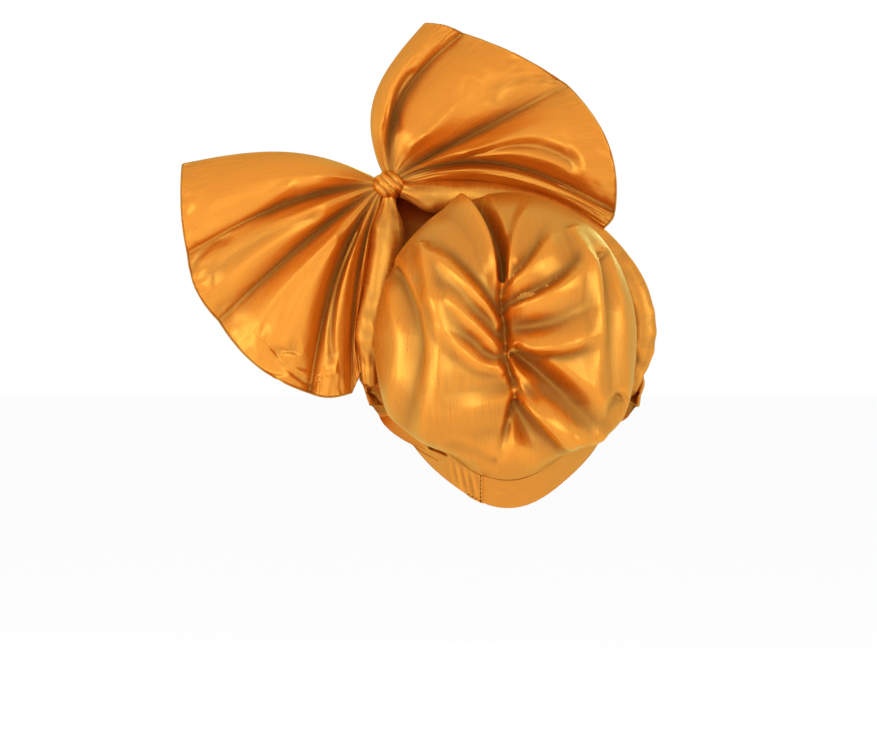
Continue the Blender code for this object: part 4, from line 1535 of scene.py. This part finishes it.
class Line(NamedTuple):
    """A line between two lobes of a wing, or its free edge.

    root and hem are degrees about the knot, anticlockwise from +X seen from behind. reach is a
    share of the wing's. bow is the line's bend as a share of its length. crest is the height of
    the lobe before it as a share of the wing's, lean says where that crest lies and swell how far
    the hem swells there.
    """

    root: float
    hem: float
    reach: float
    bow: float
    crest: float
    lean: float
    swell: float


class Crease(NamedTuple):
    """A soft fold within a wing.

    start and end are places, each a share of the wing's sweep and of its reach. bow is the path's
    bend as a share of the sweep, height is in metres and width is a share of the sweep.
    """

    start: tuple[float, float]
    end: tuple[float, float]
    bow: float
    height: float
    width: float


RIGHT_LINES = [
    Line(30, -6.5, 1.11, 0.13, 0.35, 0.50, 0.01),
    Line(50, 29.7, 1.00, 0.00, 1.00, 0.45, 0.08),
    Line(74, 64.8, 0.83, 0.15, 0.80, 0.50, 0.02),
    Line(108, 78.0, 0.82, 0.18, 0.60, 0.45, 0.01),
]
LEFT_LINES = [
    Line(224, 259.8, 1.04, -0.05, 0.20, 0.50, 0.00),
    Line(212, 249.0, 1.10, -0.06, 0.60, 0.50, 0.02),
    Line(196, 218.3, 1.08, -0.02, 1.00, 0.40, 0.05),
    Line(182, 198.3, 1.06, -0.06, 0.75, 0.50, 0.03),
    Line(160, 173.7, 1.04, -0.10, 0.90, 0.45, 0.01),
]
RIGHT_CREASES = [
    Crease((0.30, 0.30), (0.33, 0.80), 0.05, -0.0050, 0.045),
    Crease((0.37, 0.40), (0.42, 0.95), 0.03, 0.0030, 0.050),
    Crease((0.62, 0.20), (0.66, 0.75), -0.04, 0.0030, 0.045),
    Crease((0.74, 0.30), (0.80, 0.62), 0.02, -0.0035, 0.050),
    Crease((0.86, 0.30), (0.88, 0.75), 0.02, 0.0025, 0.050),
    Crease((0.56, 0.70), (0.53, 0.98), 0.03, -0.0020, 0.030),
    Crease((0.20, 0.78), (0.24, 1.00), 0.00, -0.0028, 0.030),
]
LEFT_CREASES = [
    Crease((0.33, 0.25), (0.31, 0.80), 0.03, -0.0050, 0.040),
    Crease((0.50, 0.30), (0.52, 0.95), 0.03, 0.0032, 0.040),
    Crease((0.68, 0.35), (0.71, 0.90), 0.02, -0.0030, 0.045),
    Crease((0.85, 0.45), (0.82, 0.95), -0.03, 0.0028, 0.045),
    Crease((0.45, 0.86), (0.40, 0.97), 0.05, -0.0028, 0.020),
    Crease((0.52, 0.90), (0.47, 1.00), -0.05, 0.0024, 0.018),
    Crease((0.28, 0.90), (0.36, 0.94), 0.10, 0.0024, 0.020),
    Crease((0.78, 0.80), (0.75, 1.00), 0.02, -0.0022, 0.024),
]


@dataclass
class Wing:
    """One padded, pleated wing of the bow."""

    name: str
    knot: Knot
    roll: Roll
    lines: list[Line]
    creases: list[Crease]
    along_roll: float
    reach: float
    side: Side
    pad: float = 0.0075
    hem: float = 0.0026
    crest: float = 0.028
    front_relief: float = 0.45
    crest_fade: float = 0.45
    hem_share: float = 0.16
    sweep_back: float = 0.14
    crinkle: float = 0.0005
    lobe_columns: int = 40
    inner_step: int = 2
    bow_power: float = 0.85
    body_rise: float = 0.32
    lobe_power: float = 0.8
    root_crinkle: float = 1.5
    hem_crinkle: float = 1.2
    hem_crinkle_start: float = 0.86
    hem_crinkle_rise: float = 0.1
    fold_end: float = 0.08
    fold_round_share: float = 0.6
    fold_power: float = 1.5
    root_smooth: float = 0.12
    rim_rate: float = 1.6
    follow_start: float = 0.6
    follow_rise: float = 0.3
    sweep_length: float = 1.2
    # painted shade: these shape the dark lines painted where two lobes meet, and how dark the lobes' low
    # sides are painted
    line_width: float = 0.05
    line_root_share: float = 0.15
    line_fade: float = 0.8
    line_fade_start: float = 0.45
    line_fade_rise: float = 0.5
    lobe_shade: float = 0.9
    line_shade: float = 1.3
    shade_depth: float = 0.006
    fill: float = 0.35

    def grid(self) -> tuple[Array, Array, Array, Array]:
        """The wing's places seen from behind, its lobes' heights, and its sweeps and shares.

        Returns:
            The places, the heights, the shares of the sweep and the shares of the reach.
        """
        rows = self.roll.run <= self.along_roll
        v = self.roll.run[rows] / self.roll.run[rows][-1]
        sign = self.side.value
        offset = self.roll.inward() * (self.roll.radii - self.knot.tuck)[:, None]
        edge = (self.roll.line - sign * offset)[rows]
        ribs = [edge[:, [0, 2]]]
        middle = self.knot.centre[[0, 2]]
        for line in self.lines:
            root_turn, hem_turn = math.radians(line.root), math.radians(line.hem)
            root_way = np.array([math.cos(root_turn), math.sin(root_turn)])
            seat = self.knot.radius([root_way[0], 0.0, root_way[1]]) - self.knot.tuck
            root = middle + root_way * seat
            hem_way = np.array([math.cos(hem_turn), math.sin(hem_turn)])
            hem = middle + hem_way * line.reach * self.reach
            side_way = np.array([-hem_way[1], hem_way[0]])
            bend = line.bow * line.reach * self.reach * np.sin(math.pi * v**self.bow_power)
            ribs.append(root + (hem - root) * v[:, None] + side_way * bend[:, None])
        places, heights, sweeps = [], [], []
        for k, line in enumerate(self.lines):
            steps = np.arange(self.lobe_columns + (k == len(self.lines) - 1)) / self.lobe_columns
            for w in steps:
                place = ribs[k] * (1 - w) + ribs[k + 1] * w
                swell = line.swell * np.sin(math.pi * w) * v**2
                place = place + (place - middle) * swell[:, None]
                way = unit(place[0] - middle)
                clear = self.knot.radius([way[0], 0.0, way[1]]) - self.knot.tuck
                place[0] = place[0] + way * max(0.0, clear - np.linalg.norm(place[0] - middle))
                lean = w ** (math.log(0.5) / math.log(line.lean))
                body = smooth(v / self.body_rise) * (1 - self.crest_fade * v)
                rounded = np.sin(math.pi * lean) ** self.lobe_power
                heights.append(self.crest * line.crest * rounded * body)
                sweeps.append((k + w) / len(self.lines))
                places.append(place)
        shares = np.broadcast_to(v[:, None], (len(v), len(places)))
        sweep = np.broadcast_to(np.array(sweeps)[None], shares.shape)
        return np.stack(places, axis=1), np.stack(heights, axis=1), sweep, shares

    def relief(self, sweep: Array, share: Array) -> Array:
        """Height of the soft folds and fine crinkles within the wing.

        Args:
            sweep: shares of the wing's sweep.
            share: shares of its reach.

        Returns:
            The heights.
        """
        total = ripples(sweep * 14, share * 3, 1.0, 0.45) * smooth(share / 0.2)
        near_root = self.root_crinkle * (1 - share) ** 2
        total = total + near_root * ripples(sweep * 30, share * 1.5, 1.2, 0.8)
        near_hem = self.hem_crinkle * smooth((share - self.hem_crinkle_start) / self.hem_crinkle_rise)
        total = total + near_hem * ripples(sweep * 40, share * 10, 1.1, 0.15)
        total = self.crinkle * total
        for fold in self.creases:
            start, end = np.array(fold.start), np.array(fold.end)
            length = end[1] - start[1]
            ahead = (share - start[1]) / length
            inside = np.clip(ahead, 0.0, 1.0)
            path = start[0] + (end[0] - start[0]) * inside + fold.bow * 4 * inside * (1 - inside)
            over = np.maximum(np.maximum(-ahead, ahead - 1.0), 0.0) * abs(length)
            near = np.clip(1.0 - np.hypot((sweep - path) / fold.width, over / self.fold_end), 0.0, 1.0)
            form = self.fold_round_share * smooth(near)
            form = form + (1.0 - self.fold_round_share) * near**self.fold_power
            total = total + fold.height * form
        return total * smooth(share / self.root_smooth)

    def build(self) -> bpy.types.Object:
        """Makes the padded wing.

        Returns:
            The wing.
        """
        places, heights, sweep, share = self.grid()
        away = np.linalg.norm(places - self.knot.centre[[0, 2]], axis=-1)
        depth = self.knot.centre[1] + self.sweep_back * away * sweep
        count = len(self.lines)
        rim_share = np.minimum(1.0, np.minimum(sweep, 1 - sweep) * count * self.rim_rate)
        padded = smooth(rim_share) * smooth((1 - share) / self.hem_share)
        pad = self.hem + (self.pad - self.hem) * padded
        relief = self.relief(sweep, share)
        back = depth - heights - pad / 2 - relief
        at_hem = smooth((share - self.follow_start) / self.follow_rise)
        follow = self.front_relief + (1 - self.front_relief) * at_hem
        front = depth - (heights + relief) * follow + pad / 2
        flat = np.stack([sweep * self.reach * self.sweep_length, share * self.reach], axis=-1)
        # painted shade: dark lines painted where two lobes meet, fading towards the hem, and each lobe
        # painted darker where it is low
        lobe = sweep * count
        line = np.abs(lobe - np.round(lobe))
        line = line * (self.line_root_share + (1.0 - self.line_root_share) * share)
        crease_shade = np.exp(-((line / self.line_width) ** 2))
        crease_shade = crease_shade * (np.minimum(sweep, 1 - sweep) * count > 0.5)
        fading = smooth((share - self.line_fade_start) / self.line_fade_rise)
        crease_shade = crease_shade * (1.0 - self.line_fade * fading)
        tone = heights / self.crest * self.lobe_shade + relief / self.shade_depth
        tone = np.clip(tone - self.line_shade * crease_shade, -1, 1)
        faces = [
            ClothFace(np.stack([places[..., 0], y, places[..., 1]], axis=-1), flat, tone)
            for y in (back, front)
        ]
        step = self.inner_step
        rows = (len(share) - 1) // step * step + 1
        faces = [ClothFace(*(part[:rows] for part in face)) for face in faces]
        coarse = ClothFace(*(part[::step, ::step] for part in faces[1]))
        piece = Shell(self.name, faces[0], coarse, edge_bulge=0.45).build()
        return piece


# Stitches


@dataclass
class Stitches:
    """Rows of small stitches on the band, made by one Geometry Nodes tree."""

    ring: HeadRing
    pitch: float = 0.0032
    length: float = 0.0021
    radius: float = 0.00022
    sides: int = 6
    lift: float = 0.0002
    edge_inset_deg: float = 2.0
    start_inset_deg: float = 4.0
    rim_inset: float = 0.0015
    foot_height: float = 0.002
    edge_steps: int = 24
    foot_steps: int = 40

    def tree(self) -> bpy.types.NodeTree:
        """The tree that lays a stitch at each step of a curve.

        Returns:
            The tree, with its sizes and its thread as named inputs.
        """
        tree = bpy.data.node_groups.new("stitch_row", "GeometryNodeTree")
        face = tree.interface
        face.new_socket(name="Geometry", in_out="INPUT", socket_type="NodeSocketGeometry")
        for name in ("Pitch", "Length", "Radius"):
            face.new_socket(name=name, in_out="INPUT", socket_type="NodeSocketFloat")
        face.new_socket(name="Thread", in_out="INPUT", socket_type="NodeSocketMaterial")
        face.new_socket(name="Geometry", in_out="OUTPUT", socket_type="NodeSocketGeometry")
        nodes, links = tree.nodes, tree.links
        start, end = nodes.new("NodeGroupInput"), nodes.new("NodeGroupOutput")
        points = nodes.new("GeometryNodeCurveToPoints")
        points.mode = "LENGTH"
        stitch = nodes.new("GeometryNodeMeshCylinder")
        stitch.inputs["Vertices"].default_value = self.sides
        place = nodes.new("GeometryNodeInstanceOnPoints")
        turn = nodes.new("FunctionNodeAlignRotationToVector")
        turn.axis = "Z"
        realize = nodes.new("GeometryNodeRealizeInstances")
        paint = nodes.new("GeometryNodeSetMaterial")
        links.new(start.outputs["Geometry"], points.inputs["Curve"])
        links.new(start.outputs["Pitch"], points.inputs["Length"])
        links.new(start.outputs["Length"], stitch.inputs["Depth"])
        links.new(start.outputs["Radius"], stitch.inputs["Radius"])
        links.new(points.outputs["Points"], place.inputs["Points"])
        links.new(points.outputs["Tangent"], turn.inputs["Vector"])
        links.new(turn.outputs["Rotation"], place.inputs["Rotation"])
        links.new(stitch.outputs["Mesh"], place.inputs["Instance"])
        links.new(place.outputs["Instances"], realize.inputs["Geometry"])
        links.new(realize.outputs["Geometry"], paint.inputs["Geometry"])
        links.new(start.outputs["Thread"], paint.inputs["Material"])
        links.new(paint.outputs["Geometry"], end.inputs["Geometry"])
        return tree

    def paths(self) -> list[Array]:
        """The rows: one up the lap's edge, and a short one along its foot.

        Returns:
            The rows' points.
        """
        ring = self.ring
        start_deg = ring.lap_start_deg + self.start_inset_deg
        end_deg = ring.lap_end_deg - self.edge_inset_deg
        edge = np.full(self.edge_steps, math.radians(end_deg))
        up = np.linspace(self.rim_inset, ring.band_height - self.rim_inset, self.edge_steps)
        foot = np.radians(np.linspace(start_deg, end_deg, self.foot_steps))
        return [
            ring.place(edge, ring.wall(edge) + self.lift, up),
            ring.place(foot, ring.wall(foot) + self.lift, self.foot_height),
        ]

    def build(self, thread: bpy.types.Material) -> bpy.types.Object:
        """Makes the stitches as one plain mesh.

        Args:
            thread: the thread's finish.

        Returns:
            The stitches.
        """
        curve = bpy.data.curves.new("stitch_paths", "CURVE")
        curve.dimensions = "3D"
        for path in self.paths():
            spline = curve.splines.new("POLY")
            spline.points.add(len(path) - 1)
            for point, place in zip(spline.points, path):
                point.co = (*place, 1.0)
        guide = bpy.data.objects.new("stitch_guide", curve)
        bpy.context.scene.collection.objects.link(guide)
        tree = self.tree()
        modifier = guide.modifiers.new("stitches", "NODES")
        modifier.node_group = tree
        values = {"Pitch": self.pitch, "Length": self.length, "Radius": self.radius, "Thread": thread}
        for item in tree.interface.items_tree:
            if item.in_out == "INPUT" and item.name in values:
                modifier[item.identifier] = values[item.name]
        bpy.context.view_layer.update()
        graph = bpy.context.evaluated_depsgraph_get()
        mesh = bpy.data.meshes.new_from_object(guide.evaluated_get(graph))
        piece = bpy.data.objects.new("band_stitches", mesh)
        bpy.context.scene.collection.objects.link(piece)
        bpy.data.objects.remove(guide)
        return piece


# Studio


class Lamp(NamedTuple):
    """A square soft lamp: its place and size in metres and its power in watts."""

    name: str
    place: tuple[float, float, float]
    size: float
    power: float


LAMPS = [
    Lamp("lamp_back", (-0.30, -2.3, 0.45), 1.1, 12.5),
    Lamp("lamp_left", (-2.1, -0.8, 0.25), 1.0, 10.5),
    Lamp("lamp_right", (2.1, -0.6, 0.4), 1.0, 9.5),
    Lamp("lamp_face", (0.5, 2.4, 0.9), 1.0, 10.0),
]


@dataclass
class Studio:
    """The pale floor, the soft lights and the camera."""

    aim: tuple[float, float, float] = (-0.051, 0.0, 0.052)
    distance: float = 2.2
    elevation_deg: float = 0.5
    view_width: float = 0.675
    sensor: float = 36.0
    floor_drop: float = 0.42
    floor_half: float = 30.0
    paper: tuple[float, float, float] = (0.97, 0.97, 0.97)
    paper_roughness: float = 0.9
    room_strength: float = 1.0
    farthest: float = 100.0

    def build(self) -> None:
        """Makes the stage, lights and camera."""
        self.floor()
        self.lights()
        self.camera()

    def floor(self) -> None:
        """A wide pale floor below the cap, which is held up as on a head."""
        half = self.floor_half
        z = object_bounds()[0][2] - self.floor_drop
        mesh = bpy.data.meshes.new("studio_floor")
        corners = [(-half, -half, z), (half, -half, z), (half, half, z), (-half, half, z)]
        mesh.from_pydata(corners, [], [(0, 1, 2, 3)])
        obj = bpy.data.objects.new("studio_floor", mesh)
        bpy.context.scene.collection.objects.link(obj)
        paint = bpy.data.materials.new("studio_paper")
        paint.use_nodes = True
        shader = paint.node_tree.nodes["Principled BSDF"]
        shader.inputs["Base Color"].default_value = (*self.paper, 1.0)
        shader.inputs["Roughness"].default_value = self.paper_roughness
        mesh.materials.append(paint)
        obj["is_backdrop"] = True

    def lights(self) -> None:
        """A white room and the soft lamps."""
        world = bpy.data.worlds.new("studio_room")
        bpy.context.scene.world = world
        world.use_nodes = True
        room = world.node_tree.nodes["Background"]
        room.inputs["Color"].default_value = (1.0, 1.0, 1.0, 1.0)
        room.inputs["Strength"].default_value = self.room_strength
        for lamp in LAMPS:
            light = bpy.data.lights.new(lamp.name, "AREA")
            light.size = lamp.size
            light.energy = lamp.power
            obj = bpy.data.objects.new(lamp.name, light)
            obj.location = lamp.place
            way = Vector(self.aim) - Vector(lamp.place)
            obj.rotation_euler = way.to_track_quat("-Z", "Y").to_euler()
            bpy.context.scene.collection.objects.link(obj)
        bpy.context.scene.view_settings.view_transform = "Standard"

    def camera(self) -> None:
        """The camera behind the cap, level with it."""
        lens = self.sensor * self.distance / self.view_width
        data = bpy.data.cameras.new("studio_camera")
        data.sensor_width = self.sensor
        data.lens = lens
        data.clip_end = self.farthest
        rise = math.radians(self.elevation_deg)
        way = Vector((0.0, -math.cos(rise), math.sin(rise)))
        obj = bpy.data.objects.new("studio_camera", data)
        obj.location = Vector(self.aim) + way * self.distance
        obj.rotation_euler = (-way).to_track_quat("-Z", "Y").to_euler()
        bpy.context.scene.collection.objects.link(obj)
        bpy.context.scene.camera = obj


# Assembly


@dataclass
class TurbanCap:
    """The whole cap: builds each piece, dresses it and fastens it to the frame."""

    ring: HeadRing
    arch_half_width: float = 0.108
    arch_height: float = 0.192
    along_left: float = 0.146
    along_right: float = 0.158
    left_reach: float = 0.158
    right_reach: float = 0.160
    left_stations: int = 145
    right_stations: int = 289

    def arch(self, limb: list[ArchPoint], forward: float) -> Array:
        """The places of a limb's points."""
        return np.array(
            [[p.across * self.arch_half_width, forward, p.up * self.arch_height] for p in limb]
        )

    def dress(self, piece: bpy.types.Object, material: bpy.types.Material, slot: str,
              *nodes: str) -> None:
        """Gives a piece its finish and its place in the frame.

        Args:
            piece: the piece.
            material: its finish.
            slot: not used.
            nodes: the solids that it replaces.
        """
        if not piece.data.materials:
            piece.data.materials.append(material)
        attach(piece, "root")
        if nodes:
            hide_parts(*nodes)
        LOG.info("%s: %d faces", piece.name, len(piece.data.polygons))

    def build(self) -> None:
        """Builds every piece of the cap."""
        weave = WeaveAndShadeGroup().tree
        plain = Taffeta("crown_taffeta").material(weave)
        band = Taffeta("band_taffeta", roughness=0.42, slub_turn=math.pi / 2).material(weave)
        rolled = Taffeta("roll_taffeta", roughness=0.38, slub_turn=math.pi / 2).material(weave)
        pleated = Taffeta("bow_taffeta", roughness=0.38).material(weave)
        thread = Taffeta("thread", ridge=(0.45, 0.12, 0.02), valley_shade=(0.3, 0.07, 0.01)).material(weave)
        crown = Crown(self.ring)
        crown_piece = crown.build()
        self.dress(crown_piece, plain, "taffeta", "crown")
        self.dress(HeadBand(self.ring).build(), band, "taffeta_band", "head_band")
        knot = Knot.from_frame()
        low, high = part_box("roll_right")
        radius = (high[1] - low[1]) / 2
        forward = float(knot.centre[1])
        left_line = self.arch(LEFT_LIMB, forward)[::-1]
        right_line = self.arch(RIGHT_LIMB, forward)
        left = Roll("roll_left_cloth", knot, left_line, radius, self.left_stations)
        right = Roll("roll_right_cloth", knot, right_line, radius, self.right_stations)
        self.dress(left.build(), rolled, "taffeta_roll", "roll_left")
        self.dress(right.build(), rolled, "taffeta_roll", "roll_right")
        self.dress(build_knot(knot), rolled, "taffeta_roll", "knot")
        panel = FrontPanel(self.ring, crown, knot, left, right).build(crown_piece)
        self.dress(panel, plain, "taffeta", "front_panel")
        wings = [
            (Wing("bow_left_cloth", knot, left, LEFT_LINES, LEFT_CREASES, self.along_left,
                  self.left_reach, Side.CLOCKWISE), "bow_left"),
            (Wing("bow_right_cloth", knot, right, RIGHT_LINES, RIGHT_CREASES, self.along_right,
                  self.right_reach, Side.ANTICLOCKWISE), "bow_right"),
        ]
        for wing, node in wings:
            self.dress(wing.build(), pleated, "taffeta_bow", node)
        self.dress(Stitches(self.ring).build(thread), thread, "taffeta_band")


def main() -> None:
    """Builds the cap and its studio."""
    logging.basicConfig(level=logging.INFO, format="%(name)s %(message)s")
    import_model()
    TurbanCap(HeadRing()).build()
    Studio().build()


if __name__ == "__main__":
    main()
